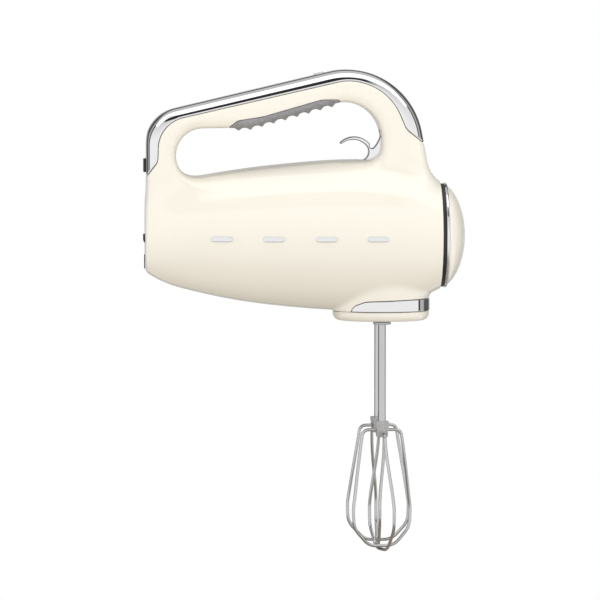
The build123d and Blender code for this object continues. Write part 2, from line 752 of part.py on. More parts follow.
with BuildPart() as eject_fork:
    with Locations((SPINDLE_X, 0, -64)):
        Box(6, 44, 4)
    with Locations((SPINDLE_X, 0, -56.5)):
        Box(6, 7, 12)
    with Locations((68, 0, -51.6)):
        Box(21, 7, 3)
    with Locations(*[(x, y, -64) for x, y in SPINDLE_PLACES]):
        Cylinder(1.9, 28.6, align=(Align.CENTER, Align.CENTER, Align.MAX))

with BuildPart() as eject_spring:
    with BuildLine(Plane(origin=(SPINDLE_X, 0, -74.1))) as coil_line:
        Helix(1.75, 7.6, 3.0)
    with BuildSketch(Plane(origin=coil_line.wires()[0] @ 0, z_dir=coil_line.wires()[0] % 0)):
        Circle(0.4)
    sweep(path=coil_line.wires()[0], is_frenet=True)

# ---- buttons and display ----------------------------------------------------------------------
def button(y):
    """Round button with a softly rounded top, standing a little proud of the trim."""
    with BuildPart() as cap:
        with BuildSketch(BUTTON_PLANE.offset(-BUTTON_DEPTH)):
            with Locations((0, y)):
                Circle(BUTTON_R)
        extrude(amount=BUTTON_DEPTH + 0.8)
        fillet(cap.faces().sort_by(Axis.Z)[-1].edges(), 0.6)
    return cap.part


with BuildPart() as speed_down_button:
    add(button(-BUTTON_Y))

with BuildPart() as speed_up_button:
    add(button(BUTTON_Y))

with BuildPart() as button_board:
    with BuildSketch(BUTTON_PLANE.offset(-10.8)):
        Rectangle(26, 18)
    extrude(amount=1.4)

with BuildPart() as button_switches:
    with BuildSketch(BUTTON_PLANE.offset(-9.4)):
        with Locations((0, -BUTTON_Y), (0, BUTTON_Y)):
            Rectangle(6, 6)
    extrude(amount=2.4)
    with BuildSketch(BUTTON_PLANE.offset(-7.0)):
        with Locations((0, -BUTTON_Y), (0, BUTTON_Y)):
            Circle(1.4)
    extrude(amount=0.7)

with BuildPart() as display_module:
    with BuildSketch(Plane.XY.offset(13.2)):
        with Locations((38.5, 0)):
            RectangleRounded(16, 7.6, 1)
    extrude(amount=2.2)


# ---- whisks -----------------------------------------------------------------------------------
def loop_wires(y, phase):
    """Two closed wire loops at right angles; the second passes under the first at both ends."""
    with BuildPart() as wires:
        for turn, drop in ((0, 0), (90, WIRE_STEP)):
            root_z = WIRE_ROOT_Z - drop
            half_loop = [
                (11.8, root_z),
                (15.6, -230),
                (BASKET_R, -254),
                (BASKET_R - 0.4, -266),
                (8.5, WHISK_BASE_Z + WIRE_R + WIRE_STEP - drop),
            ]
            mirrored = [(-u, z) for u, z in reversed(half_loop)]
            with BuildLine(upright_plane(y, phase + turn)) as path:
                FilletPolyline(*half_loop, *mirrored, radius=LOOP_RADII + LOOP_RADII[::-1], close=True)
            loop_wire = path.wires()[0]
            with BuildSketch(Plane(origin=loop_wire @ 0, z_dir=loop_wire % 0)):
                Circle(WIRE_R)
            sweep(path=loop_wire)
    return wires.part


def upright_plane(y, turn):
    """Plane through a spindle's axis, turned about it from the XZ plane."""
    direction = radians(turn)
    return Plane(
        origin=(SPINDLE_X, y, 0),
        x_dir=(cos(direction), sin(direction), 0),
        z_dir=(sin(direction), -cos(direction), 0),
    )


def whisk_hub(y, phase):
    """Moulded core that grips the wires, with four tapered fins between them."""
    with BuildPart() as hub:
        with Locations((SPINDLE_X, y, HUB_TOP_Z)):
            Cylinder(HUB_R, HUB_TOP_Z - HUB_BASE_Z, align=(Align.CENTER, Align.CENTER, Align.MAX))
        for turn in (45, 135):
            with BuildSketch(upright_plane(y, phase + turn)):
                with BuildLine():
                    Polyline(
                        (-FIN_R, HUB_TOP_Z),
                        (FIN_R, HUB_TOP_Z),
                        (FIN_R - 1.3, HUB_BASE_Z),
                        (1.3 - FIN_R, HUB_BASE_Z),
                        close=True,
                    )
                make_face()
            extrude(amount=0.9, both=True)
    return hub.part


def whisk_shaft(y):
    """Steel shaft that plugs into a spindle."""
    with BuildPart() as shaft:
        with Locations((SPINDLE_X, y, HUB_TOP_Z - SHAFT_BITE)):
            Cylinder(WHISK_SHAFT_R, WHISK_TOP_Z - HUB_TOP_Z + SHAFT_BITE, align=(Align.CENTER, Align.CENTER, Align.MIN))
        chamfer(shaft.edges().group_by(Axis.Z)[-1], 0.6)
    return shaft.part


with BuildPart() as near_whisk_wires:
    add(loop_wires(-SPINDLE_Y, NEAR_PHASE))

with BuildPart() as far_whisk_wires:
    add(loop_wires(SPINDLE_Y, FAR_PHASE))

with BuildPart() as near_whisk_shaft:
    add(whisk_shaft(-SPINDLE_Y))

with BuildPart() as far_whisk_shaft:
    add(whisk_shaft(SPINDLE_Y))

with BuildPart() as near_whisk_hub:
    add(whisk_hub(-SPINDLE_Y, NEAR_PHASE))
    add(near_whisk_shaft.part, mode=Mode.SUBTRACT)
    add(near_whisk_wires.part, mode=Mode.SUBTRACT)

with BuildPart() as far_whisk_hub:
    add(whisk_hub(SPINDLE_Y, FAR_PHASE))
    add(far_whisk_shaft.part, mode=Mode.SUBTRACT)
    add(far_whisk_wires.part, mode=Mode.SUBTRACT)

# ---- output -----------------------------------------------------------------------------------
finish(left_housing, "left_housing")
finish(right_housing, "right_housing")
finish(housing_screws, "housing_screws")
finish(nose_gasket, "nose_gasket")
finish(nose_ring, "nose_ring")
finish(nose_cap, "nose_cap")
finish(handle_trim, "handle_trim")
finish(grip_pad, "grip_pad")
finish(display_window, "display_window")
finish(display_module, "display_module")
finish(button_board, "button_board")
finish(button_switches, "button_switches")
finish(speed_up_button, "speed_up_button")
finish(speed_down_button, "speed_down_button")
finish(side_marks, "side_marks")
finish(heel_feet, "heel_feet")
finish(cord_gland, "cord_gland")
finish(control_board, "control_board")
finish(collar_trim, "collar_trim")
finish(base_collar, "base_collar")
finish(motor_can, "motor_can")
finish(field_magnets, "field_magnets")
finish(front_bell, "front_bell")
finish(rear_bell, "rear_bell")
finish(motor_bearings, "motor_bearings")
finish(brush_holders, "brush_holders")
finish(carbon_brushes, "carbon_brushes")
finish(motor_screws, "motor_screws")
finish(motor_shaft, "motor_shaft")
finish(armature_core, "armature_core")
finish(armature_windings, "armature_windings")
finish(commutator, "commutator")
finish(cooling_fan, "cooling_fan")
finish(worm, "worm")
finish(worm_bush, "worm_bush")
finish(near_gear, "near_gear")
finish(far_gear, "far_gear")
finish(near_spindle, "near_spindle")
finish(far_spindle, "far_spindle")
finish(upper_bushes, "upper_bushes")
finish(lower_bushes, "lower_bushes")
finish(gearbox_base, "gearbox_base")
finish(gearbox_cover, "gearbox_cover")
finish(gearbox_screws, "gearbox_screws")
finish(release_lever, "release_lever")
finish(lever_pin, "lever_pin")
finish(eject_fork, "eject_fork")
finish(eject_spring, "eject_spring")
finish(near_whisk_wires, "near_whisk_wires")
finish(near_whisk_hub, "near_whisk_hub")
finish(near_whisk_shaft, "near_whisk_shaft")
finish(far_whisk_wires, "far_whisk_wires")
finish(far_whisk_hub, "far_whisk_hub")
finish(far_whisk_shaft, "far_whisk_shaft")
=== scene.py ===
"""Looks of the hand mixer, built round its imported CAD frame.

Shapes are worked out in millimetres, in the CAD's own frame, and scaled when a mesh is made.
The outer skin is the zero level of a distance field, so that the handle, the bullet body and the
neck run into each other with soft hollows, and it is then cut along the seams.
"""
import json
from math import acos, cos, pi, radians, sin

import bpy
import numpy as np
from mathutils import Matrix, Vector


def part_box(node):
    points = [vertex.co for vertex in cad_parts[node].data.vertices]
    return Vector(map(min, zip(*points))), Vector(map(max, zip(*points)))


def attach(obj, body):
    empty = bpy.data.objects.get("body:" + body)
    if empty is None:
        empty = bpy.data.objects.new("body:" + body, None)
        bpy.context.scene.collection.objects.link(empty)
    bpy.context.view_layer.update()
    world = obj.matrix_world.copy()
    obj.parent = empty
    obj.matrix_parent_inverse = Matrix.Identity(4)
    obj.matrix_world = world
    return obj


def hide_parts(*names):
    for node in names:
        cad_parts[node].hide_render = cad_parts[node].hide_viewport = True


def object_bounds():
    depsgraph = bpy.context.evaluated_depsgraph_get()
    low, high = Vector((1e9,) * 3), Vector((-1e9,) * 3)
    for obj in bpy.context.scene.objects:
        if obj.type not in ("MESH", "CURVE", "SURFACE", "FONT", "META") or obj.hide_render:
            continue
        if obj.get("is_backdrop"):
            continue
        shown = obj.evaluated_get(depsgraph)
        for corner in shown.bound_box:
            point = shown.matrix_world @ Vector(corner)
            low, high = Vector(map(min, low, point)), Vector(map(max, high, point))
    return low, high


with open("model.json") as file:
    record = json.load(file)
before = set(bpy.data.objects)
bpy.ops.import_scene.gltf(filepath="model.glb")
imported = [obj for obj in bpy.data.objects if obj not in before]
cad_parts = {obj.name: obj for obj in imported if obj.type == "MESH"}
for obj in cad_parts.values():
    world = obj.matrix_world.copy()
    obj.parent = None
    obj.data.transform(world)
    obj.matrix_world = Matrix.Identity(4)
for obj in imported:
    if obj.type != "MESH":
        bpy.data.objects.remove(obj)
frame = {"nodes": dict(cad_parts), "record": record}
cad_low, cad_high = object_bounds()
MM = 0.001

# ---- dimensions shared with the CAD -----------------------------------------------------------
AXIS_Z = -84.5
REAR_X = -87.5
RING_X = 96.8
WALL = 2.4
BODY_SECTIONS = [
    (-87.5, 22.5, 20.5),
    (-80.0, 27.0, 24.5),
    (-60.0, 34.0, 30.6),
    (-30.0, 40.4, 36.3),
    (5.0, 44.8, 40.2),
    (37.5, 46.6, 41.5),
    (70.0, 43.2, 40.0),
    (85.0, 38.9, 37.2),
    (96.8, 33.4, 33.4),
]
HANDLE_HALF = 17.0
OUTER_EDGE_R = 10.5
INNER_EDGE_R = 7.0
HANDLE_OUTLINE = [(REAR_X, -92), (REAR_X, -9.4), (76.3, 29.3), (90.6, -50), (84, -92)]
HANDLE_RADII = [2, 24, 48, 2, 2]
OPENING_OUTLINE = [(-68.2, -51), (-68.2, -17.8), (-23, -17.2), (33, -1.5), (59.6, -1), (59.6, -39.5)]
OPENING_RADII = [15, 17, 30, 20, 23, 13]
TRIM_BORDER = [(-95, -58), (-79.6, -38.5), (-79, -14.3), (40, 12.9), (64.5, 6), (75, -18.5), (95, -33.5)]
TRIM_RADII = [0, 8, 20, 30, 34, 10, 0]
PAD_BORDER = [(-38, -19.5), (-30, -12.9), (-14, -10.4), (22, 0), (33, 0), (35.6, -3)]
PAD_RADII = [0, 4, 20, 15, 3, 0]
COLLAR_X, COLLAR_RX, COLLAR_RY = 60.0, 30.2, 29.0
COLLAR_SEAM_Z = -131.4
COLLAR_BASE_Z = -137.5
BAND_BORDER = [(39.8, -131.9), (41.6, -128.0), (49.0, -125.0), (70, -124.3), (96, -123.5), (96, -131.9)]
BAND_RADII = [0, 5, 14, 40, 0, 0]
NECK_TOP_Z = -100.0
BODY_HOLLOW, NECK_HOLLOW = 9.0, 2.5  # reach of the soft hollows where the handle and the neck meet the body
HEEL_EDGE_R = 2.4
BOSS_PLACES = [(-74.5, -30), (67.5, -14), (-20, -52.5), (-20, -118), (-72, -103.5)]
BUTTON_X, BUTTON_Y = 21.0, 4.4
BUTTON_R, BUTTON_HOLE_R = 3.05, 3.3
WINDOW_X, WINDOW_HALF_LENGTH, WINDOW_R = 38.5, 10, 5.5
SLOT_X, SLOT_Z, SLOT_HALF_X, SLOT_HALF_Z, SLOT_HALF_Y = 57, -30.4, 11, 11.5, 6.0  # round the lever's root
TRIM_THICK, LENS_THICK, PAD_THICK, BAND_THICK = 1.8, 2.0, 2.4, 1.4
WELL_HOLE_R, WELL_BORE_R, WELL_OUTER_R = 2.8, 2.85, 3.7
MARK_PLACES, MARK_Z = (-40.5, -8.5, 24, 56), -85.6
MARK_HALF_LENGTH, MARK_HALF_WIDTH = 6.75, 1.7
HOOK_HALF_WIDTH, HOOK_EDGE_R = 5.4, 0.85
FOOT_PLACES = [(0, -40.6, 4.5, 4.3), (-11.5, -86, 4.0, 2.2), (11.5, -86, 4.0, 2.2)]  # y, z and half sizes
FOOT_PROUD = 0.9

# ---- gaps, rolled edges and mesh pitches ------------------------------------------------------
GAP = 0.14  # half of the gap between two neighbours
LIP = 0.35  # room left for a housing's edge beside the trims
SEAM_LIP = 0.22  # radius rolled on a housing's edges
TRIM_LIP = 0.9
PAD_LIP = 0.5
BAND_LIP = 0.3
WINDOW_GAP = 0.3
COLLAR_GAP = 0.12
SHARP = 0.02  # least radius of an outline's corner, so that each corner has an arc
SKIN_PITCH, TRIM_PITCH, PAD_PITCH, BAND_PITCH = 1.5, 1.3, 0.7, 0.9


# ---- distance fields --------------------------------------------------------------------------
def meld(a, b, reach):
    """Union of two fields with a soft hollow where they meet."""
    near = np.maximum(reach - np.abs(a - b), 0)
    return np.minimum(a, b) - near * near / (4 * reach)


def within(a, b, edge=0.0):
    """Overlap of two fields, with that radius on the edge between them."""
    if not edge:
        return np.maximum(a, b)
    corner = np.hypot(np.maximum(a + edge, 0), np.maximum(b + edge, 0))
    return np.minimum(np.maximum(a, b) + edge, 0) + corner - edge


class Curve:
    """Natural cubic curve through stations: gives its value and its slope."""

    def __init__(self, stations, values):
        x, y = np.array(stations, float), np.array(values, float)
        gap = np.diff(x)
        system, right = np.eye(len(x)), np.zeros(len(x))
        for i in range(1, len(x) - 1):
            system[i, i - 1 : i + 2] = gap[i - 1], 2 * (gap[i - 1] + gap[i]), gap[i]
            right[i] = 6 * ((y[i + 1] - y[i]) / gap[i] - (y[i] - y[i - 1]) / gap[i - 1])
        self.x, self.y, self.gap, self.bend = x, y, gap, np.linalg.solve(system, right)

    def __call__(self, at):
        i = np.clip(np.searchsorted(self.x, at) - 1, 0, len(self.gap) - 1)
        gap, m0, m1 = self.gap[i], self.bend[i], self.bend[i + 1]
        rise = (self.y[i + 1] - self.y[i]) / gap - gap * (2 * m0 + m1) / 6
        t = at - self.x[i]
        value = self.y[i] + t * (rise + t * (m0 / 2 + t * (m1 - m0) / (6 * gap)))
        return value, rise + t * (m0 + t * (m1 - m0) / (2 * gap))


class Outline:
    """Closed outline of straight runs joined by true arcs, in any plane."""

    def __init__(self, points, radii):
        p = np.array(points, float)
        r = np.maximum(np.array(radii, float), SHARP)
        area = np.sum(p[:, 0] * np.roll(p[:, 1], -1) - p[:, 1] * np.roll(p[:, 0], -1))
        if area < 0:
            p, r = p[::-1], r[::-1]
        self.corners = []
        for i in range(len(p)):
            back = p[i - 1] - p[i]
            ahead = p[(i + 1) % len(p)] - p[i]
            back, ahead = back / np.linalg.norm(back), ahead / np.linalg.norm(ahead)
            half = acos(np.clip(back @ ahead, -1, 1)) / 2
            run = r[i] / np.tan(half)
            turn = np.cross(-back, ahead)
            middle = (back + ahead) / np.linalg.norm(back + ahead)
            centre = p[i] + middle * r[i] / sin(half)
            self.corners.append(
                dict(
                    start=p[i] + back * run,
                    end=p[i] + ahead * run,
                    centre=centre,
                    middle=-middle,
                    reach=cos(pi / 2 - half),
                    sweep=pi - 2 * half,
                    radius=r[i],
                    convex=1.0 if turn > 0 else -1.0,
                )
            )

    def distance(self, u, v):
        """Signed distance, below zero inside."""
        best, value = np.inf, 0.0
        for i, corner in enumerate(self.corners):
            a, b = corner["end"], self.corners[(i + 1) % len(self.corners)]["start"]
            run = b - a
            length = run @ run
            if length > 1e-12:
                du, dv = u - a[0], v - a[1]
                t = np.clip((du * run[0] + dv * run[1]) / length, 0, 1)
                far = np.hypot(du - t * run[0], dv - t * run[1])
                side = np.where(run[0] * dv - run[1] * du > 0, -1.0, 1.0)
                value = np.where(far < best, side * far, value)
                best = np.minimum(best, far)
            du, dv = u - corner["centre"][0], v - corner["centre"][1]
            out = np.hypot(du, dv)
            facing = du * corner["middle"][0] + dv * corner["middle"][1] >= out * corner["reach"]
            far = np.where(facing, np.abs(out - corner["radius"]), np.inf)
            value = np.where(far < best, (out - corner["radius"]) * corner["convex"], value)
            best = np.minimum(best, far)
        return value

    def trace(self, pitch=0.25, longest=1e9):
        """Points once round the outline and their outward normals. Arcs get a point every pitch radians."""
        points, normals = [], []
        for i, corner in enumerate(self.corners):
            ahead = self.corners[(i + 1) % len(self.corners)]["start"]
            steps = max(2, int(np.ceil(corner["sweep"] / pitch)))
            first = np.arctan2(*(corner["start"] - corner["centre"])[::-1])
            for k in range(steps + 1):
                turn = first + corner["convex"] * corner["sweep"] * k / steps
                ray = np.array([cos(turn), sin(turn)])
                points.append(corner["centre"] + corner["radius"] * ray)
                normals.append(ray * corner["convex"])
            run = ahead - points[-1]
            cuts = int(np.linalg.norm(run) / longest)
            base = points[-1]
            side = np.array([run[1], -run[0]]) / max(np.linalg.norm(run), 1e-9)
            for k in range(1, cuts + 1):
                points.append(base + run * k / (cuts + 1))
                normals.append(side)
        return np.array(points), np.array(normals)


def oval(x, y, centre_x, rx, ry):
    """Field of an upright oval column."""
    u, v = x - centre_x, y
    ratio = np.sqrt((u / rx) ** 2 + (v / ry) ** 2) + 1e-9
    return (ratio - 1) * ratio / np.sqrt((u / rx**2) ** 2 + (v / ry**2) ** 2 + 1e-12)


body_height = Curve(*zip(*[(x, h) for x, h, w in BODY_SECTIONS]))
body_width = Curve(*zip(*[(x, w) for x, h, w in BODY_SECTIONS]))
handle_line = Outline(HANDLE_OUTLINE, HANDLE_RADII)
opening_line = Outline(OPENING_OUTLINE, OPENING_RADII)
trim_line = Outline(
    TRIM_BORDER + [(110, -35), (110, 50), (-110, 50), (-110, -58)], TRIM_RADII + [0] * 4
)
pad_line = Outline(PAD_BORDER + [(35.6, -26), (-38, -26)], PAD_RADII + [0] * 2)
band_line = Outline(BAND_BORDER, BAND_RADII)


def bullet(x, y, z):
    """Motor body: ovals that change along X."""
    height, height_slope = body_height(x)
    width, width_slope = body_width(x)
    v = z - AXIS_Z
    ratio = np.sqrt((y / width) ** 2 + (v / height) ** 2) + 1e-9
    along = (y * y * width_slope / width**3 + v * v * height_slope / height**3) / ratio
    across = ((y / width**2) ** 2 + (v / height**2) ** 2) / ratio**2
    return (ratio - 1) / np.sqrt(along**2 + across)


def handle(x, y, z):
    """Loop handle with its finger opening."""
    side = np.abs(y) - HANDLE_HALF
    outer = within(handle_line.distance(x, z), side, OUTER_EDGE_R)
    inner = within(-opening_line.distance(x, z), side, INNER_EDGE_R)
    return np.maximum(outer, inner)


def column_skin(x, y, z):
    """Side of the neck and the collar, as an endless oval column."""
    return oval(x, y, COLLAR_X, COLLAR_RX, COLLAR_RY)


def neck(x, y, z):
    """Stub of that column under the body."""
    return within(column_skin(x, y, z), z - NECK_TOP_Z)


def skin(x, y, z):
    """The whole cream body: bullet, handle and neck, cut flat at the heel."""
    shape = meld(bullet(x, y, z), handle(x, y, z), BODY_HOLLOW)
    shape = meld(shape, neck(x, y, z), NECK_HOLLOW)
    return within(shape, REAR_X - x, HEEL_EDGE_R)


def slope(field, p, step=0.02):
    """Gradient of a field at each point."""
    grown = np.empty_like(p)
    for axis in range(3):
        shift = np.zeros(3)
        shift[axis] = step
        grown[:, axis] = (field(*(p + shift).T) - field(*(p - shift).T)) / (2 * step)
    return grown


def settle(field, p, rounds=3):
    """Move points onto the field's zero level."""
    for _ in range(rounds):
        g = slope(field, p)
        push = field(*p.T) / np.maximum((g * g).sum(1), 0.05)
        p = p - np.clip(push, -1, 1)[:, None] * g
    return p


def unit(v):
    """Rows of a matrix, each of length one."""
    return v / np.maximum(np.linalg.norm(v, axis=1), 1e-12)[:, None]


# ---- meshes from fields -----------------------------------------------------------------------
def surface(field, low, high, step, relax=4):
    """Triangle mesh of the field's zero level inside a box: one vertex in each cell that it crosses."""
    axes = [np.arange(a, b + step, step) for a, b in zip(low, high)]
    grid = np.broadcast_to(
        field(axes[0][:, None, None], axes[1][None, :, None], axes[2][None, None, :]), [len(a) for a in axes]
    )
    cells = tuple(n - 1 for n in grid.shape)
    total, count = np.zeros(cells + (3,)), np.zeros(cells)
    crossings = []
    for axis in range(3):
        a = np.moveaxis(grid, axis, 0)
        first, second = a[:-1], a[1:]
        crossed = (first < 0) != (second < 0)
        with np.errstate(divide="ignore", invalid="ignore"):
            share = np.where(crossed, first / (first - second), 0)
        crossings.append((crossed, first < 0))
        place = np.indices(crossed.shape).astype(float)
        spot = [place[0] + share, place[1], place[2]]
        rest = [i for i in range(3) if i != axis]
        for du in (0, 1):
            for dv in (0, 1):
                window = (slice(None), slice(du, du + cells[rest[0]]), slice(dv, dv + cells[rest[1]]))
                hit = np.moveaxis(crossed[window], 0, axis)
                count += hit
                for part, target in zip(spot, [axis] + rest):
                    total[..., target] += np.moveaxis(np.where(crossed[window], part[window], 0), 0, axis)
    used = count > 0
    index = np.full(cells, -1)
    index[used] = np.arange(used.sum())
    points = np.array(low) + step * total[used] / count[used][:, None]
    quads = []
    for axis in range(3):
        crossed, starts_inside = crossings[axis]
        cell = np.moveaxis(index, axis, 0)
        i, j, k = np.nonzero(crossed[:, 1:-1, 1:-1])
        j, k = j + 1, k + 1
        ring = np.stack([cell[i, j - 1, k - 1], cell[i, j, k - 1], cell[i, j, k], cell[i, j - 1, k]], 1)
        flip = ~starts_inside[i, j, k]
        if axis == 1:
            flip = ~flip
        ring[flip] = ring[flip][:, ::-1]
        quads.append(ring)
    quads = np.concatenate(quads)
    points = settle(field, points)
    ends = np.concatenate([quads[:, [0, 1]], quads[:, [1, 2]], quads[:, [2, 3]], quads[:, [3, 0]]])
    for _ in range(relax):
        near, shared = np.zeros_like(points), np.zeros(len(points))
        for a, b in ((0, 1), (1, 0)):
            np.add.at(near, ends[:, a], points[ends[:, b]])
            np.add.at(shared, ends[:, a], 1)
        held = np.where(shared[:, None] > 0, near / np.maximum(shared, 1)[:, None], points)
        points = settle(field, (points + held) / 2, 1)
    points = settle(field, points, 2)
    short = np.linalg.norm(points[quads[:, 0]] - points[quads[:, 2]], axis=1) < np.linalg.norm(
        points[quads[:, 1]] - points[quads[:, 3]], axis=1
    )
    faces = np.where(
        short[:, None], quads[:, [0, 1, 2, 0, 2, 3]], quads[:, [0, 1, 3, 1, 2, 3]]
    ).reshape(-1, 3)
    return points, faces


def cut(field, points, faces, measure, pitch):
    """Keep the side of a mesh where measure is below zero, with a clean edge on its zero line."""

    def onto_line(p, rounds=4):
        for _ in range(rounds):
            g = slope(measure, p)
            p = p - np.clip(measure(*p.T) / np.maximum((g * g).sum(1), 0.05), -1, 1)[:, None] * g
            p = settle(field, p, 1)
        return p

    points = points.copy()
    m = np.array(measure(*points.T), float)
    near = np.abs(m) < 0.3 * pitch  # these vertices move onto the line, so that no sliver is left
    points[near] = onto_line(points[near])
    m = np.array(measure(*points.T), float)
    m[near] = 0
    tri = m[faces]
    whole = (tri <= 0).all(1) & (tri < 0).any(1)
    mixed = (tri < 0).any(1) & (tri > 0).any(1)
    made, fresh, kept = {}, [], []
    for face in faces[mixed]:
        ring = []
        for a, b in zip(face, np.roll(face, -1)):
            if m[a] <= 0:
                ring.append(a)
            if m[a] * m[b] < 0:
                key = (min(a, b), max(a, b))
                if key not in made:
                    made[key] = len(points) + len(fresh)
                    share = m[a] / (m[a] - m[b])
                    fresh.append(points[a] + share * (points[b] - points[a]))
                ring.append(made[key])
        kept += [(ring[0], ring[i], ring[i + 1]) for i in range(1, len(ring) - 1)]
    if fresh:
        points = np.concatenate([points, onto_line(np.array(fresh))])
    faces = np.concatenate([faces[whole], np.array(kept, int).reshape(-1, 3)])
    used = np.unique(faces)
    index = np.full(len(points), -1)
    index[used] = np.arange(len(used))
    return points[used], index[faces]


def rim_of(faces):
    """Edges that belong to one face only, each in its face's direction."""
    edges = np.concatenate([faces[:, [0, 1]], faces[:, [1, 2]], faces[:, [2, 0]]])
    seen = set(map(tuple, edges))
    return np.array([e for e in seen if (e[1], e[0]) not in seen]).reshape(-1, 2)


def shell(field, points, faces, thick, edge, lift=0.0):
    """Closed shell of that thickness under a piece of skin, with that radius rolled on its rim."""
    normals = unit(slope(field, points))
    points = points + normals * lift
    rim = rim_of(faces)
    out = np.zeros_like(points)
    for a, b in rim:
        way = np.cross(points[b] - points[a], normals[a] + normals[b])
        way /= max(np.linalg.norm(way), 1e-9)
        out[a] += way
        out[b] += way
    on_rim = np.unique(rim)
    miter = np.clip(2 / np.maximum(np.linalg.norm(out[on_rim], axis=1), 1e-9), 1, 1.4)
    out[on_rim] = unit(out[on_rim])
    n, t, base = normals[on_rim], out[on_rim], points[on_rim]
    wide = (edge * miter)[:, None]
    all_points, all_normals = [points], [normals]
    rows = [on_rim]
    total = len(points)
    for turn in (22.5, 45, 67.5, 90):
        s, c = sin(radians(turn)), cos(radians(turn))
        all_points.append(base + t * wide * s - n * edge * (1 - c))
        all_normals.append(n * c + t * s)
        rows.append(total + np.arange(len(on_rim)))
        total += len(on_rim)
    all_points.append(base + t * wide - n * thick)
    all_normals.append(t)
    rows.append(total + np.arange(len(on_rim)))
    total += len(on_rim)
    all_points.append(points - normals * thick)
    all_normals.append(-normals)
    rows.append(total + on_rim)
    where = np.full(len(points), -1)
    where[on_rim] = np.arange(len(on_rim))
    ring_faces = []
    for upper, lower in zip(rows, rows[1:]):
        a, b = where[rim[:, 0]], where[rim[:, 1]]
        ring_faces.append(np.stack([upper[b], upper[a], lower[a], lower[b]], 1))
    quads = np.concatenate(ring_faces)
    inner = faces[:, ::-1] + total
    return np.concatenate(all_points), [faces, inner, quads], np.concatenate(all_normals)


def mirrored(points, groups, normals):
    """A shell with its reflection in the plane Y = 0 in place of itself."""
    flip = np.array([1, -1, 1])
    return points * flip, [g[:, ::-1] for g in groups], normals * flip


def joined(*parts):
    """Several (points, face groups, normals) as one."""
    points, groups, normals, total = [], [], [], 0
    for p, g, n in parts:
        points.append(p)
        normals.append(n)
        groups += [x + total for x in g]
        total += len(p)
    return np.concatenate(points), groups, np.concatenate(normals)


def solid(field, low, high, step, relax=3):
    """Closed mesh of a field inside a box."""
    points, faces = surface(field, low, high, step, relax)
    return points, [faces], unit(slope(field, points))


def turned(outline, centre, axis, segments=96, pitch=0.22):
    """Ring made by turning an outline of (radius, height) about an axis through centre."""
    line, line_normals = outline.trace(pitch) if isinstance(outline, Outline) else outline
    axis = np.array(axis, float)
    side = np.cross(axis, [0, 1, 0])
    if np.linalg.norm(side) < 0.1:
        side = np.cross(axis, [0, 0, 1])
    side /= np.linalg.norm(side)
    other = np.cross(axis, side)
    turns = np.arange(segments) * 2 * pi / segments
    ray = np.cos(turns)[:, None] * side + np.sin(turns)[:, None] * other
    points = np.array(centre) + line[None, :, 0, None] * ray[:, None] + line[None, :, 1, None] * axis
    normals = line_normals[None, :, 0, None] * ray[:, None] + line_normals[None, :, 1, None] * axis
    n = len(line)
    i, j = np.meshgrid(np.arange(segments), np.arange(n), indexing="ij")
    i2, j2 = (i + 1) % segments, (j + 1) % n
    quads = np.stack([i * n + j, i2 * n + j, i2 * n + j2, i * n + j2], -1).reshape(-1, 4)
    return points.reshape(-1, 3), [quads], normals.reshape(-1, 3)


def tube(path, radius, sides=14):
    """Closed round tube along a closed path."""
    ahead = unit(np.roll(path, -1, 0) - np.roll(path, 1, 0))
    up = np.cross(ahead[0], [0.3, 0.5, 0.8])
    frames = []
    for a in ahead:
        up = up - a * (up @ a)
        up /= np.linalg.norm(up)
        frames.append(up)
    frames = np.array(frames)
    last = frames[-1] - ahead[0] * (frames[-1] @ ahead[0])
    last /= np.linalg.norm(last)
    slip = np.arctan2(np.cross(last, frames[0]) @ ahead[0], last @ frames[0])
    turns = np.arange(sides) * 2 * pi / sides
    turn = turns[None, :] + (slip * np.arange(len(path)) / len(path))[:, None]
    other = np.cross(ahead, frames)
    normals = np.cos(turn)[..., None] * frames[:, None] + np.sin(turn)[..., None] * other[:, None]
    points = path[:, None] + radius * normals
    i, j = np.meshgrid(np.arange(len(path)), np.arange(sides), indexing="ij")
    i2, j2 = (i + 1) % len(path), (j + 1) % sides
    quads = np.stack([i * sides + j, i * sides + j2, i2 * sides + j2, i2 * sides + j], -1).reshape(-1, 4)
    return points.reshape(-1, 3), [quads], normals.reshape(-1, 3)


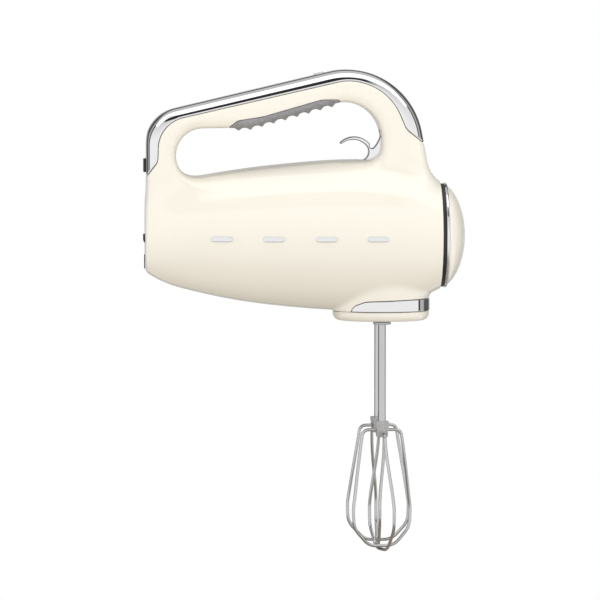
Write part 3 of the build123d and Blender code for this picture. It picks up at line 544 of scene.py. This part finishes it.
# ---- materials --------------------------------------------------------------------------------
def finish_of(
    name, colour, rough, metallic=0.0, coat=0.0, grain=(900, 0.01), tone=(60, 0.03), vary=0.05,
    stretch=(1, 1, 1),
):
    """Material with tone and roughness that drift a little, and a fine grain.

    grain is (marks per metre, height in mm), tone is (marks per metre, share of the colour).
    """
    material = bpy.data.materials.new(name)
    material.use_nodes = True
    nodes, links = material.node_tree.nodes, material.node_tree.links
    shader = nodes["Principled BSDF"]
    place = nodes.new("ShaderNodeTexCoord")
    mapping = nodes.new("ShaderNodeMapping")
    mapping.inputs["Scale"].default_value = stretch
    links.new(place.outputs["Object"], mapping.inputs["Vector"])

    def noise(scale, detail):
        node = nodes.new("ShaderNodeTexNoise")
        node.inputs["Scale"].default_value = scale
        node.inputs["Detail"].default_value = detail
        links.new(mapping.outputs["Vector"], node.inputs["Vector"])
        return node

    broad, fine = noise(tone[0], 3), noise(grain[0], 2)
    ramp = nodes.new("ShaderNodeValToRGB")
    low, high = ramp.color_ramp.elements
    low.position, high.position = 0.3, 0.7
    low.color = [c * (1 - tone[1]) for c in colour] + [1]
    high.color = [min(1, c * (1 + tone[1])) for c in colour] + [1]
    links.new(broad.outputs["Fac"], ramp.inputs["Fac"])
    links.new(ramp.outputs["Color"], shader.inputs["Base Color"])
    spread = nodes.new("ShaderNodeMapRange")
    spread.inputs["To Min"].default_value = max(0.02, rough - vary)
    spread.inputs["To Max"].default_value = rough + vary
    links.new(broad.outputs["Fac"], spread.inputs["Value"])
    links.new(spread.outputs["Result"], shader.inputs["Roughness"])
    bump = nodes.new("ShaderNodeBump")
    bump.inputs["Strength"].default_value = 1.0
    bump.inputs["Distance"].default_value = grain[1] * MM
    links.new(fine.outputs["Fac"], bump.inputs["Height"])
    links.new(bump.outputs["Normal"], shader.inputs["Normal"])
    shader.inputs["Metallic"].default_value = metallic
    shader.inputs["Coat Weight"].default_value = coat
    shader.inputs["Coat Roughness"].default_value = 0.04
    shader.inputs["Specular IOR Level"].default_value = 0.2 if coat == 1 else 0.5
    return material


POLISHED = dict(metallic=1.0, grain=(150, 0.001), tone=(40, 0.01), vary=0.015)
STEEL_TINT = (0.67, 0.67, 0.675)
finishes = {
    "cream_shell": finish_of(
        "cream_gloss", (0.91, 0.862, 0.758), 0.45, coat=1.0, grain=(420, 0.0015), tone=(25, 0.008)
    ),
    "chrome_trim": finish_of("chrome", STEEL_TINT, 0.05, **POLISHED),
    "grip_rubber": finish_of("grip_rubber", (0.31, 0.305, 0.315), 0.55, grain=(2600, 0.03), tone=(120, 0.06)),
    "dark_seal": finish_of("black_rubber", (0.012, 0.012, 0.012), 0.5, grain=(2200, 0.02)),
    "smoked_window": finish_of(
        "smoked_lens", (0.01, 0.01, 0.012), 0.08, coat=1.0, grain=(300, 0.001), vary=0.02
    ),
    "grey_button": finish_of("button_plastic", (0.62, 0.62, 0.63), 0.35, grain=(1800, 0.01)),
    "board_green": finish_of("board_mask", (0.03, 0.16, 0.06), 0.35, grain=(700, 0.03), tone=(300, 0.15)),
    "inner_plastic": finish_of("moulded_black", (0.03, 0.032, 0.035), 0.5, grain=(1500, 0.02)),
    "motor_steel": finish_of(
        "drawn_steel", (0.52, 0.52, 0.53), 0.28, 1.0, grain=(1200, 0.01), stretch=(0.2, 1, 1)
    ),
    "bush_bronze": finish_of("bearing_bronze", (0.50, 0.32, 0.14), 0.35, 1.0, grain=(2500, 0.01)),
    "copper_wire": finish_of(
        "enamelled_copper", (0.62, 0.24, 0.10), 0.3, 1.0, grain=(1600, 0.05), stretch=(0.1, 1, 1)
    ),
    "carbon": finish_of("pressed_carbon", (0.02, 0.02, 0.02), 0.6, grain=(2500, 0.02)),
    "magnet_ferrite": finish_of("ferrite", (0.03, 0.03, 0.033), 0.55, grain=(2000, 0.02)),
    "gear_nylon": finish_of("natural_nylon", (0.80, 0.76, 0.66), 0.4, grain=(1500, 0.01)),
    "hub_plastic": finish_of(
        "pale_grey_plastic", (0.42, 0.425, 0.43), 0.28, coat=0.4, grain=(900, 0.006), tone=(150, 0.03)
    ),
    "whisk_steel": finish_of(
        "polished_wire", (0.47, 0.47, 0.475), 0.12, 1.0, grain=(1500, 0.004), tone=(200, 0.05), vary=0.04,
        stretch=(1, 1, 0.05),
    ),
}


def paint_dark_edge_reflection(material, shade):
    """Paint a dark reflection into the colour of the faces that turn away from the mixer's sides, where a
    thin polished bar would mirror a dark room.
    """
    nodes, links = material.node_tree.nodes, material.node_tree.links
    shader = nodes["Principled BSDF"]
    face, split = nodes.new("ShaderNodeNewGeometry"), nodes.new("ShaderNodeSeparateXYZ")
    size, share = nodes.new("ShaderNodeMath"), nodes.new("ShaderNodeMapRange")
    tint = nodes.new("ShaderNodeMixRGB")
    size.operation = "ABSOLUTE"
    share.inputs["From Min"].default_value, share.inputs["From Max"].default_value = 0.78, 0.93
    links.new(face.outputs["Normal"], split.inputs[0])
    links.new(split.outputs["Y"], size.inputs[0])
    links.new(size.outputs[0], share.inputs["Value"])
    links.new(share.outputs["Result"], tint.inputs["Fac"])
    tint.inputs["Color1"].default_value = shade + (1,)
    links.new(shader.inputs["Base Color"].links[0].from_socket, tint.inputs["Color2"])
    links.new(tint.outputs["Color"], shader.inputs["Base Color"])
    return material


# The release lever's chrome, with a painted dark reflection on its rolled edges.
lever_chrome_painted_reflection = paint_dark_edge_reflection(finish_of("lever_chrome_painted_reflection", STEEL_TINT, 0.06, **POLISHED), (0.05, 0.05, 0.055))

# The CAD nodes that stay in the model take the finish of their slot.
for part in frame["record"]["subparts"]:
    node = frame["nodes"][part["node"]]
    if not node.material_slots:
        node.data.materials.append(None)
    for place in node.material_slots:
        place.material = finishes[part["material_slot"]]


def piece(name, made, slot, *replaced, body="mixer", finish=None):
    """Make a piece from points, face groups and normals, on its body and in place of those CAD nodes."""
    points, groups, normals = made
    faces = [tuple(map(int, f)) for g in groups for f in g]
    mesh = bpy.data.meshes.new(name)
    mesh.from_pydata((points * MM).tolist(), [], faces)
    mesh.polygons.foreach_set("use_smooth", np.ones(len(mesh.polygons), bool))
    mesh.materials.append(finish or finishes[slot])
    mesh.normals_split_custom_set_from_vertices(unit(normals).tolist())
    obj = bpy.data.objects.new(name, mesh)
    bpy.context.scene.collection.objects.link(obj)
    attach(obj, body)
    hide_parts(*replaced)
    return obj


# ---- cream housings ---------------------------------------------------------------------------
(_, top_rear_z), (top_front_x, top_front_z) = HANDLE_OUTLINE[1:3]
top_slope = (top_front_z - top_rear_z) / (top_front_x - REAR_X)
top_angle = np.arctan(top_slope)
button_up = np.array([-sin(top_angle), 0, cos(top_angle)])


def column(centre, up, radius):
    """Field of an endless round column."""

    def field(x, y, z):
        p = [x - centre[0], y - centre[1], z - centre[2]]
        along = sum(a * b for a, b in zip(p, up))
        return np.sqrt(sum((a - along * b) ** 2 for a, b in zip(p, up)) + 1e-12) - radius

    return field


def lozenge(u, v, half_length, radius):
    """Field of a slot with round ends, lying along u."""
    return np.hypot(np.maximum(np.abs(u) - (half_length - radius), 0), v) - radius


def block(u, v, half_u, half_v, edge):
    """Field of a bar with that section and radius on its edges."""
    return within(np.abs(u) - half_u, np.abs(v) - half_v, edge)


def trim_zone(x, y, z):
    return trim_line.distance(x, z)


def pad_zone(x, y, z):
    return pad_line.distance(x, z)


def band_zone(x, y, z):
    return band_line.distance(x, z)


def window_zone(x, y, z):
    return within(lozenge(x - WINDOW_X, y, WINDOW_HALF_LENGTH, WINDOW_R), 5 - z)


def lever_zone(x, y, z):
    sides = block(x - SLOT_X, z - SLOT_Z, SLOT_HALF_X, SLOT_HALF_Z, 1.5)
    return within(sides, np.abs(y) - SLOT_HALF_Y, 1.0)


def button_zones(x, y, z):
    holes = [column((BUTTON_X, at, 16.2), button_up, BUTTON_HOLE_R) for at in (-BUTTON_Y, BUTTON_Y)]
    near, far = (hole(x, y, z) for hole in holes)
    return within(np.minimum(near, far), 4 - z)


def outside(zone, margin):
    """Measure for cut() that keeps what lies outside the zone."""
    return lambda x, y, z: margin - zone(x, y, z)


def inside(zone, margin):
    """Measure for cut() that keeps what lies inside the zone."""
    return lambda x, y, z: zone(x, y, z) + margin


skin_points, skin_faces = surface(skin, (-91, -3.2, -136.5), (103, 44.5, 22), SKIN_PITCH)

half_points, half_faces = skin_points, skin_faces
for zone in (trim_zone, pad_zone, band_zone, lever_zone):
    half_points, half_faces = cut(skin, half_points, half_faces, outside(zone, GAP + LIP), SKIN_PITCH)
seams = (
    lambda x, y, z: x - RING_X + SEAM_LIP,
    lambda x, y, z: COLLAR_SEAM_Z + SEAM_LIP - z,
    lambda x, y, z: 0.04 + SEAM_LIP - y,
)
for seam in seams:
    half_points, half_faces = cut(skin, half_points, half_faces, seam, SKIN_PITCH)
right_half = mirrored(*shell(skin, half_points, half_faces, WALL, SEAM_LIP))

# The left half has the screw wells.
screws = np.array([v.co for v in frame["nodes"]["housing_screws"].data.vertices]) / MM
wells = []
left_points, left_faces = half_points, half_faces
for x, z in BOSS_PLACES:
    seat = screws[np.hypot(screws[:, 0] - x, screws[:, 2] - z) < 3.5, 1].max()
    hole = outside(column((x, 0, z), (0, 1, 0), WELL_HOLE_R), SEAM_LIP)
    left_points, left_faces = cut(skin, left_points, left_faces, hole, SKIN_PITCH)
    mouth = settle(skin, np.array([[x, seat + 3.0, z]]))[0][1]
    low, high = seat - 2.4, mouth - 1.6
    well = Outline(
        [(WELL_BORE_R, low), (WELL_BORE_R, high), (WELL_OUTER_R, high), (WELL_OUTER_R, low)], [0.2] * 4
    )
    wells.append(turned(well, (x, 0, z), (0, 1, 0), 32))
left_half = joined(shell(skin, left_points, left_faces, WALL, SEAM_LIP), *wells)
piece("housing_right", right_half, "cream_shell", "right_housing")
piece("housing_left", left_half, "cream_shell", "left_housing")

# ---- chrome trim, lens and buttons ------------------------------------------------------------
trim_points, trim_faces = surface(skin, (-91, -19, -62), (95, 19, 22), TRIM_PITCH)
lens_points, lens_faces = cut(skin, trim_points, trim_faces, inside(window_zone, WINDOW_GAP), TRIM_PITCH)
trim_points, trim_faces = cut(skin, trim_points, trim_faces, inside(trim_zone, GAP + TRIM_LIP), TRIM_PITCH)
for zone in (window_zone, button_zones):
    trim_points, trim_faces = cut(skin, trim_points, trim_faces, outside(zone, WINDOW_GAP), TRIM_PITCH)
trim = shell(skin, trim_points, trim_faces, TRIM_THICK, TRIM_LIP)
piece("handle_chrome", trim, "chrome_trim", "handle_trim")
lens = shell(skin, lens_points, lens_faces, LENS_THICK, 0.25, lift=-0.15)
piece("display_lens", lens, "smoked_window", "display_window")


def button(y):
    """Round cap with a slightly dished top, on the slope of the handle."""
    foot = np.array([BUTTON_X, y, top_rear_z + top_slope * (BUTTON_X - REAR_X)])
    outline = Outline(
        [(0.001, -4.5), (BUTTON_R, -4.5), (BUTTON_R, 0.85), (1.7, 0.62), (0.001, 0.55)],
        [0, 0.2, 0.45, 1.2, 0],
    )
    return turned(outline, foot, button_up, 64)


piece("speed_down_cap", button(-BUTTON_Y), "grey_button", "speed_down_button", body="speed_down")
piece("speed_up_cap", button(BUTTON_Y), "grey_button", "speed_up_button", body="speed_up")

# ---- soft grip --------------------------------------------------------------------------------
NUB_ROWS, NUB_SPACING = 9, 7.25
NUB_R, NUB_HEIGHT, NUB_SHARPNESS = 2.7, 1.9, 1.35
pad_points, pad_faces = surface(skin, (-38, -19.5, -21), (39, 19.5, 1.5), PAD_PITCH, relax=3)
pad_points, pad_faces = cut(skin, pad_points, pad_faces, inside(pad_zone, GAP + PAD_LIP), PAD_PITCH)
pad_points, groups, pad_normals = shell(skin, pad_points, pad_faces, PAD_THICK, PAD_LIP, lift=0.1)
nubs = []
for i in range(NUB_ROWS):
    x = -29.2 + i * NUB_SPACING
    z = -17.6 + max(0.0, x + 20) * 0.293  # roughly the underside of the handle; settle() does the rest
    for y, rise in ((0, 0), (8.5, 0), (16.2, 3.4)):
        nubs.append((x, y, z + rise))
        if y:
            nubs.append((x, -y, z + rise))
nubs = settle(skin, np.array(nubs, float))
reach = np.sqrt(((pad_points[:, None] - nubs[None]) ** 2).sum(2)).min(1)
rise = NUB_HEIGHT * np.maximum(1 - reach / NUB_R, 0) ** NUB_SHARPNESS
upper = np.unique(groups[0])
pad_points[upper] += rise[upper, None] * pad_normals[upper]
# The raised points take their normals from the faces round them.
a, b, c = (pad_points[groups[0][:, i]] for i in range(3))
tilted = np.zeros_like(pad_points)
for i in range(3):
    np.add.at(tilted, groups[0][:, i], np.cross(b - a, c - a))
raised = upper[rise[upper] > 0.01]
pad_normals[raised] = unit(tilted[raised])
piece("grip_pad_skin", (pad_points, groups, pad_normals), "grip_rubber", "grip_pad")

# ---- chrome bars on the sides -----------------------------------------------------------------
bars = []
for x in MARK_PLACES:

    def bar(u, v, w, x=x):
        sides = lozenge(u - x, w - MARK_Z, MARK_HALF_LENGTH, MARK_HALF_WIDTH)
        return within(within(bullet(u, v, w) - 0.7, sides, 0.45), -bullet(u, v, w) - 0.6)

    reach_y = body_width(x)[0]
    made = solid(bar, (x - 8, -reach_y - 2, -88.5), (x + 8, -reach_y + 3, -82.5), 0.4)
    bars += [made, mirrored(*made)]
piece("side_bars", joined(*bars), "chrome_trim", "side_marks")

# ---- collar -----------------------------------------------------------------------------------
spindle_low, spindle_high = [np.array(c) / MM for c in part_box("near_spindle")]
SPINDLE_X = (spindle_low[0] + spindle_high[0]) / 2
NEAR_Y = (spindle_low[1] + spindle_high[1]) / 2


def collar(x, y, z):
    """Hollow cream cup under the neck, open at the top, with a bore for each spindle."""
    outer = within(column_skin(x, y, z), COLLAR_BASE_Z - z, 4.5)
    outer = within(outer, z - COLLAR_SEAM_Z + COLLAR_GAP, 0.3)
    hollow = within(oval(x, y, COLLAR_X, COLLAR_RX - WALL, COLLAR_RY - WALL), COLLAR_BASE_Z + 3.0 - z, 1)
    bores = np.minimum(np.hypot(x - SPINDLE_X, y - NEAR_Y), np.hypot(x - SPINDLE_X, y + NEAR_Y)) - 4.9
    return within(within(outer, -hollow, 0.3), -bores, 0.3)


piece("collar_cream", solid(collar, (28, -31, -139.5), (92, 31, -129.5), 0.8), "cream_shell", "base_collar")

band_points, band_faces = surface(column_skin, (36, -31, -134), (92.5, 31, -120), BAND_PITCH)
for measure in (
    inside(band_zone, GAP + BAND_LIP),
    lambda x, y, z: COLLAR_SEAM_Z + COLLAR_GAP + BAND_LIP - z,
):
    band_points, band_faces = cut(column_skin, band_points, band_faces, measure, BAND_PITCH)
band = shell(column_skin, band_points, band_faces, BAND_THICK, BAND_LIP, lift=0.3)
piece("collar_band", band, "chrome_trim", "collar_trim")

# ---- nose -------------------------------------------------------------------------------------
ring_low, ring_high = [np.array(c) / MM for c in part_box("nose_ring")]
gasket_low, gasket_high = [np.array(c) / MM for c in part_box("nose_gasket")]
_, cap_high = [np.array(c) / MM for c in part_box("nose_cap")]
RING_R = ring_high[2] - AXIS_Z
nose_axis = dict(centre=(0, 0, AXIS_Z), axis=(1, 0, 0), segments=128)
gasket_r = RING_R - 0.5
gasket = Outline(
    [(30.5, gasket_low[0]), (gasket_r, gasket_low[0]), (gasket_r, gasket_high[0]), (30.5, gasket_high[0])],
    [0.1, 0.25, 0.25, 0.1],
)
piece("nose_gasket_ring", turned(gasket, **nose_axis), "dark_seal", "nose_gasket")
ring = Outline(
    [(30.6, ring_low[0]), (RING_R, ring_low[0]), (RING_R - 0.1, ring_high[0]), (30.9, ring_high[0])],
    [0.1, 0.8, 0.9, 0.1],
)
piece("nose_ring_chrome", turned(ring, **nose_axis), "chrome_trim", "nose_ring")
DOME_R, DOME_FULLNESS = 30.75, 1.4
climb = np.linspace(0.5, 0, 48) * pi
bulge = (cap_high[0] - ring_high[0]) * np.cos(climb) ** DOME_FULLNESS
dome = np.stack([DOME_R * np.sin(climb) + 0.001, ring_high[0] + bulge], 1)
spigot = [(0.001, 95.0), (1.0, 95.0), (29.4, 95.0), (30.1, 95.3), (30.2, 96.0), (30.3, ring_high[0] - 0.6)]
dome = np.concatenate([spigot, [(30.55, ring_high[0] - 0.35)], dome])
ahead = unit(np.roll(dome, -1, 0) - np.roll(dome, 1, 0))
ahead[0], ahead[-1] = (1, 0), (-1, 0)
dome_normals = np.stack([ahead[:, 1], -ahead[:, 0]], 1)
piece("nose_dome", turned((dome, dome_normals), **nose_axis), "cream_shell", "nose_cap")

# ---- heel -------------------------------------------------------------------------------------
feet = []
for y, z, half_y, half_z in FOOT_PLACES:

    def foot(u, v, w, y=y, z=z, half_y=half_y, half_z=half_z):
        sides = block(v - y, w - z, half_y, half_z, 1.6)
        return within(within(sides, REAR_X - FOOT_PROUD - u, 0.5), u - REAR_X - 1.0)

    feet.append(
        solid(foot, (-90, y - half_y - 1, z - half_z - 1), (-85.5, y + half_y + 1, z + half_z + 1), 0.45)
    )
piece("heel_pads", joined(*feet), "dark_seal", "heel_feet")

# ---- release lever ----------------------------------------------------------------------------
def arc(a, b, c, pitch=0.3):
    """Points along the arc from a through b to c, without c."""
    a, b, c = (np.array(p, float) for p in (a, b, c))
    twice = 2 * ((b - a)[0] * (c - a)[1] - (b - a)[1] * (c - a)[0])
    p, q = (b - a) @ (b - a), (c - a) @ (c - a)
    centre = a + np.array([(c - a)[1] * p - (b - a)[1] * q, (b - a)[0] * q - (c - a)[0] * p]) / twice
    radius = np.linalg.norm(a - centre)
    first, through, last = (np.arctan2(*(p - centre)[::-1]) for p in (a, b, c))
    sweep = (last - first) % (2 * pi)
    if (through - first) % (2 * pi) > sweep:
        sweep -= 2 * pi
    turns = first + sweep * np.arange(0, 1, pitch / abs(sweep * radius))
    return [(centre[0] + radius * cos(t), centre[1] + radius * sin(t)) for t in turns]


hook_line = np.array(
    [(61.4, -20.2)]
    + arc((59.7, -20.2), (58.33, -25.26), (55.4, -29.6))
    + arc((55.4, -29.6), (53.13, -29.66), (52.9, -27.6))
    + arc((52.9, -27.6), (43.4, -22.8), (34.6, -26.2))
    + arc((34.6, -26.2), (34.3, -27.1), (35.3, -27.3))
    + arc((35.3, -27.3), (43.3, -24.9), (51.3, -29.3))
    + arc((51.3, -29.3), (51.9, -33.6), (47.6, -37.7))
    + [(47.6, -37.7), (51.5, -38.4), (60.5, -38.4), (63, -30), (61.8, -24)]
)


def hook_distance(x, z):
    """Signed distance to the hook's outline, below zero inside."""
    best, within_line = np.inf, False
    for a, b in zip(hook_line, np.roll(hook_line, -1, 0)):
        run = b - a
        t = np.clip(((x - a[0]) * run[0] + (z - a[1]) * run[1]) / (run @ run), 0, 1)
        best = np.minimum(best, np.hypot(x - a[0] - t * run[0], z - a[1] - t * run[1]))
        if a[1] != b[1]:
            across = a[0] + (z - a[1]) * run[0] / run[1]
            within_line = within_line ^ (((a[1] <= z) != (b[1] <= z)) & (x < across))
    return np.where(within_line, -best, best)


def lever(x, y, z):
    """Hook of even width with its edges rolled over."""
    return within(hook_distance(x, z), np.abs(y) - HOOK_HALF_WIDTH, HOOK_EDGE_R)


lever_skin = solid(lever, (32.5, -6.5, -40), (64.5, 6.5, -18.5), 0.4, relax=2)
piece("release_hook", lever_skin, "chrome_trim", "release_lever", body="lever", finish=lever_chrome_painted_reflection)

# ---- whisks -----------------------------------------------------------------------------------
WIRE_R = 1.0
WIRE_STEP = 2.2
WIRE_ROOT_Z = -204.9
WHISK_BASE_Z = -280.6
BASKET_R = 19.3
SHAFT_R = 2.35
HUB_R, HUB_HALF_HEIGHT, FIN_HALF = 3.5, 4.95, 0.9
hub_low, hub_high = [np.array(c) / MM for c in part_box("near_whisk_hub")]
shaft_low, shaft_high = [np.array(c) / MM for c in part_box("near_whisk_shaft")]


def ease(t):
    """Smooth step from nought to one."""
    t = np.clip(t, 0, 1)
    return t * t * (3 - 2 * t)


def loop_path(y, phase, drop, root_turn, belly_turn):
    """One bent wire loop; its plane turns a little between the root and the belly, as hand-set wire does."""
    root_z = WIRE_ROOT_Z - drop
    half = [
        (11.8, root_z),
        (15.6, -230),
        (BASKET_R, -254),
        (BASKET_R - 0.4, -266),
        (8.5, WHISK_BASE_Z + WIRE_R + WIRE_STEP - drop),
    ]
    radii = [4, 40, 22, 12, 11]
    outline = Outline(half + [(-u, z) for u, z in reversed(half)], radii + radii[::-1])
    line, _ = outline.trace(0.12, longest=2.5)
    u, z = line.T
    turn = np.radians(phase + root_turn + (belly_turn - root_turn) * ease((WIRE_ROOT_Z - z) / 50))
    return np.stack([SPINDLE_X + u * np.cos(turn), y + u * np.sin(turn), z], 1)


def whisk(side, y, phase, root_turn, belly_turn):
    """Wires, shaft and hub of one whisk."""
    loops = [
        tube(loop_path(y, phase + quarter, drop, root_turn, belly_turn), WIRE_R)
        for quarter, drop in ((0, 0), (90, WIRE_STEP))
    ]
    piece(f"{side}_whisk_loops", joined(*loops), "whisk_steel", f"{side}_whisk_wires", body=f"{side}_whisk")
    rod = Outline(
        [(0.001, shaft_low[2]), (SHAFT_R, shaft_low[2]), (SHAFT_R, shaft_high[2]), (0.001, shaft_high[2])],
        [0, 0.2, 0.7, 0],
    )
    piece(
        f"{side}_whisk_rod",
        turned(rod, (SPINDLE_X, y, 0), (0, 0, 1), 48),
        "whisk_steel",
        f"{side}_whisk_shaft",
        body=f"{side}_whisk",
    )

    def hub(x, v, z):
        px, py = x - SPINDLE_X, v - y
        height = np.abs(z - (hub_high[2] + hub_low[2]) / 2) - HUB_HALF_HEIGHT
        taper = 4.1 + (z - hub_low[2]) * 0.125
        shape = within(np.hypot(px, py) - HUB_R, height, 0.8)
        for turn in (45, 135):
            s, c = sin(radians(phase + root_turn + turn)), cos(radians(phase + root_turn + turn))
            along, across = px * c + py * s, -px * s + py * c
            fin = within(np.abs(along) - taper, np.abs(across) - FIN_HALF, 0.45)
            shape = meld(shape, within(fin, height, 0.5), 0.8)
        return shape

    reach, margin = 6.3, 1.2
    made = solid(
        hub,
        (SPINDLE_X - reach, y - reach, hub_low[2] - margin),
        (SPINDLE_X + reach, y + reach, hub_high[2] + margin),
        0.4,
    )
    piece(f"{side}_whisk_core", made, "hub_plastic", f"{side}_whisk_hub", body=f"{side}_whisk")


whisk("near", NEAR_Y, 15, -10, 5)
whisk("far", -NEAR_Y, 8, 7, -8)


def spindle(y):
    """Hollow spindle with a wider mouth at its foot."""
    low, lip, high = spindle_low[2], spindle_low[2] + 1.5, spindle_high[2]
    bore, tube_r, mouth_r = 2.42, 4.4, 5.6
    outline = Outline(
        [(bore, low), (mouth_r, low), (mouth_r, lip), (tube_r, lip), (tube_r, high), (bore, high)],
        [0.3, 0.7, 0.3, 0.3, 0.3, 0.3],
    )
    return turned(outline, (SPINDLE_X, y, 0), (0, 0, 1), 64)


piece("near_spindle_tube", spindle(NEAR_Y), "hub_plastic", "near_spindle", body="near_drive")
piece("far_spindle_tube", spindle(-NEAR_Y), "hub_plastic", "far_spindle", body="far_drive")

# ---- camera, light and surroundings -----------------------------------------------------------
scene = bpy.context.scene
scene.view_settings.view_transform = "Standard"


def stage_material(name, build):
    material = bpy.data.materials.new(name)
    material.use_nodes = True
    nodes, links = material.node_tree.nodes, material.node_tree.links
    nodes.clear()
    build(nodes, links, nodes.new("ShaderNodeOutputMaterial"))
    return material


def pale(nodes, links, output):
    """Pale board that shows plain white to the camera and glows for all other rays, throwing up a softer
    painted light from below the mixer, with a painted shadow darkest under it.
    """
    seen, painted_glow, mix = (nodes.new("ShaderNode" + kind) for kind in ("Emission", "Emission", "MixShader"))
    seen.inputs["Color"].default_value = (1, 1, 1, 1)
    place, reach, ramp = (nodes.new("ShaderNode" + kind) for kind in ("TexCoord", "VectorMath", "ValToRGB"))
    reach.operation = "LENGTH"
    links.new(place.outputs["Object"], reach.inputs[0])
    links.new(reach.outputs["Value"], ramp.inputs["Fac"])
    elements = ramp.color_ramp.elements
    while len(elements) < 4:
        elements.new(0.5)
    # Painted shadow: the glow is dark tan close under the mixer and grows to white further out.
    painted_shadow_rings = (
        (0.22, (0.36, 0.325, 0.275)),
        (0.32, (0.69, 0.675, 0.65)),
        (0.46, (0.90, 0.90, 0.90)),
        (0.7, (1, 1, 1)),
    )
    for element, (radius, shade) in zip(elements, painted_shadow_rings):
        element.position, element.color = radius, shade + (1,)
    links.new(ramp.outputs["Color"], painted_glow.inputs["Color"])
    painted_glow.inputs["Strength"].default_value = 1.22
    path = nodes.new("ShaderNodeLightPath")
    links.new(path.outputs["Is Camera Ray"], mix.inputs[0])
    links.new(painted_glow.outputs[0], mix.inputs[1])
    links.new(seen.outputs[0], mix.inputs[2])
    links.new(mix.outputs[0], output.inputs["Surface"])


FLOOR_DROP = 0.048  # room below for the whisks when they are pulled right out
FLOOR_HALF, FLOOR_BACK = 9.0, 0.3
floor_mesh = bpy.data.meshes.new("floor")
left, right, front_edge = -FLOOR_HALF, FLOOR_HALF, -FLOOR_HALF
floor_mesh.from_pydata(
    [(left, front_edge, 0), (right, front_edge, 0), (right, FLOOR_BACK, 0), (left, FLOOR_BACK, 0)],
    [],
    [(0, 1, 2, 3)],
)
floor_mesh.materials.append(stage_material("pale_board_painted_glow", pale))
floor = bpy.data.objects.new("floor", floor_mesh)
floor.location.z = cad_low.z - FLOOR_DROP
scene.collection.objects.link(floor)
floor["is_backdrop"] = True

world = bpy.data.worlds.new("studio")
scene.world = world
world.use_nodes = True
nodes, links = world.node_tree.nodes, world.node_tree.links
nodes.clear()
output = nodes.new("ShaderNodeOutputWorld")
room, sky = nodes.new("ShaderNodeBackground"), nodes.new("ShaderNodeBackground")
mix, path = nodes.new("ShaderNodeMixShader"), nodes.new("ShaderNodeLightPath")
place, split = nodes.new("ShaderNodeTexCoord"), nodes.new("ShaderNodeSeparateXYZ")
links.new(place.outputs["Generated"], split.inputs[0])


def bands(axis, *stops):
    """Brightness against one axis of the direction, which runs from -1 to 1."""
    share, ramp = nodes.new("ShaderNodeMapRange"), nodes.new("ShaderNodeValToRGB")
    share.inputs["From Min"].default_value = -1
    links.new(split.outputs[axis], share.inputs["Value"])
    links.new(share.outputs["Result"], ramp.inputs["Fac"])
    elements = ramp.color_ramp.elements
    while len(elements) < len(stops):
        elements.new(0.5)
    for element, (direction, shade) in zip(elements, stops):
        element.position = (direction + 1) / 2
        element.color = (shade, shade, shade, 1)
    return ramp.outputs["Color"]


def blend(kind, first, second, share=1.0):
    """Mix of two colours, each a socket or a value."""
    node = nodes.new("ShaderNodeMix")
    node.data_type, node.blend_type = "RGBA", kind
    for socket, value in ((node.inputs[0], share), (node.inputs[6], first), (node.inputs[7], second)):
        if isinstance(value, bpy.types.NodeSocket):
            links.new(value, socket)
        else:
            socket.default_value = value
    return node.outputs[2]


# A white room in front, grey behind, and a dark card above the camera.
behind = bands(
    "Y",
    (-1, 1),
    (0.02, 1),
    (0.04, 0.05),
    (0.18, 0.05),
    (0.22, 0.5),
    (0.42, 0.5),
    (0.5, 0.1),
    (0.84, 0.1),
    (0.95, 0.45),
    (1, 0.45),
)
front = bands("Z", (-1, 1), (0.15, 1), (0.66, 0.75), (1, 0.75))
above = bands("Z", (-1, 0), (0.66, 0), (0.74, 1), (1, 1))
room_shade = blend("MIX", blend("MULTIPLY", behind, front), (0.6, 0.6, 0.6, 1), above)
card = blend(
    "MULTIPLY",
    bands("Z", (-1, 0), (0.66, 0), (0.69, 1), (0.915, 1), (0.93, 0), (1, 0)),
    bands("X", (-1, 0), (-0.62, 0), (-0.5, 1), (0.3, 1), (0.42, 0), (1, 0)),
)
card = blend("MULTIPLY", card, bands("Y", (-1, 1), (-0.05, 1), (0.02, 0), (1, 0)))
links.new(blend("MIX", room_shade, (0.03, 0.03, 0.03, 1), card), room.inputs["Color"])
room.inputs["Strength"].default_value = 1.27
sky.inputs["Color"].default_value = (1, 1, 1, 1)
links.new(path.outputs["Is Camera Ray"], mix.inputs[0])
links.new(room.outputs[0], mix.inputs[1])
links.new(sky.outputs[0], mix.inputs[2])
links.new(mix.outputs[0], output.inputs["Surface"])


def softbox(name, place, aim, width, height, power):
    light = bpy.data.lights.new(name, "AREA")
    light.shape, light.size, light.size_y, light.energy = "RECTANGLE", width, height, power
    obj = bpy.data.objects.new(name, light)
    obj.location = place
    obj.rotation_euler = (Vector(aim) - Vector(place)).to_track_quat("-Z", "Y").to_euler()
    scene.collection.objects.link(obj)


middle = Vector((0.01, 0, -0.09))
softbox("overhead", (0.2, -0.19, 1.6), middle + Vector((0.19, -0.19, 0)), 5.0, 1.05, 21)

# The camera stands level with the mixer's side, a little to the rear and a little above.
azimuth, elevation, distance = radians(-2.75), radians(3.0), 3.0
aim = Vector((0.0094, 0, -0.125))
back = Vector((sin(azimuth) * cos(elevation), -cos(azimuth) * cos(elevation), sin(elevation)))
camera = bpy.data.objects.new("camera", bpy.data.cameras.new("camera"))
camera.data.lens, camera.data.sensor_width = 288, 36
camera.location = aim + back * distance
camera.rotation_euler = (-back).to_track_quat("-Z", "Y").to_euler()
scene.collection.objects.link(camera)
scene.camera = camera

low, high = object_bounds()
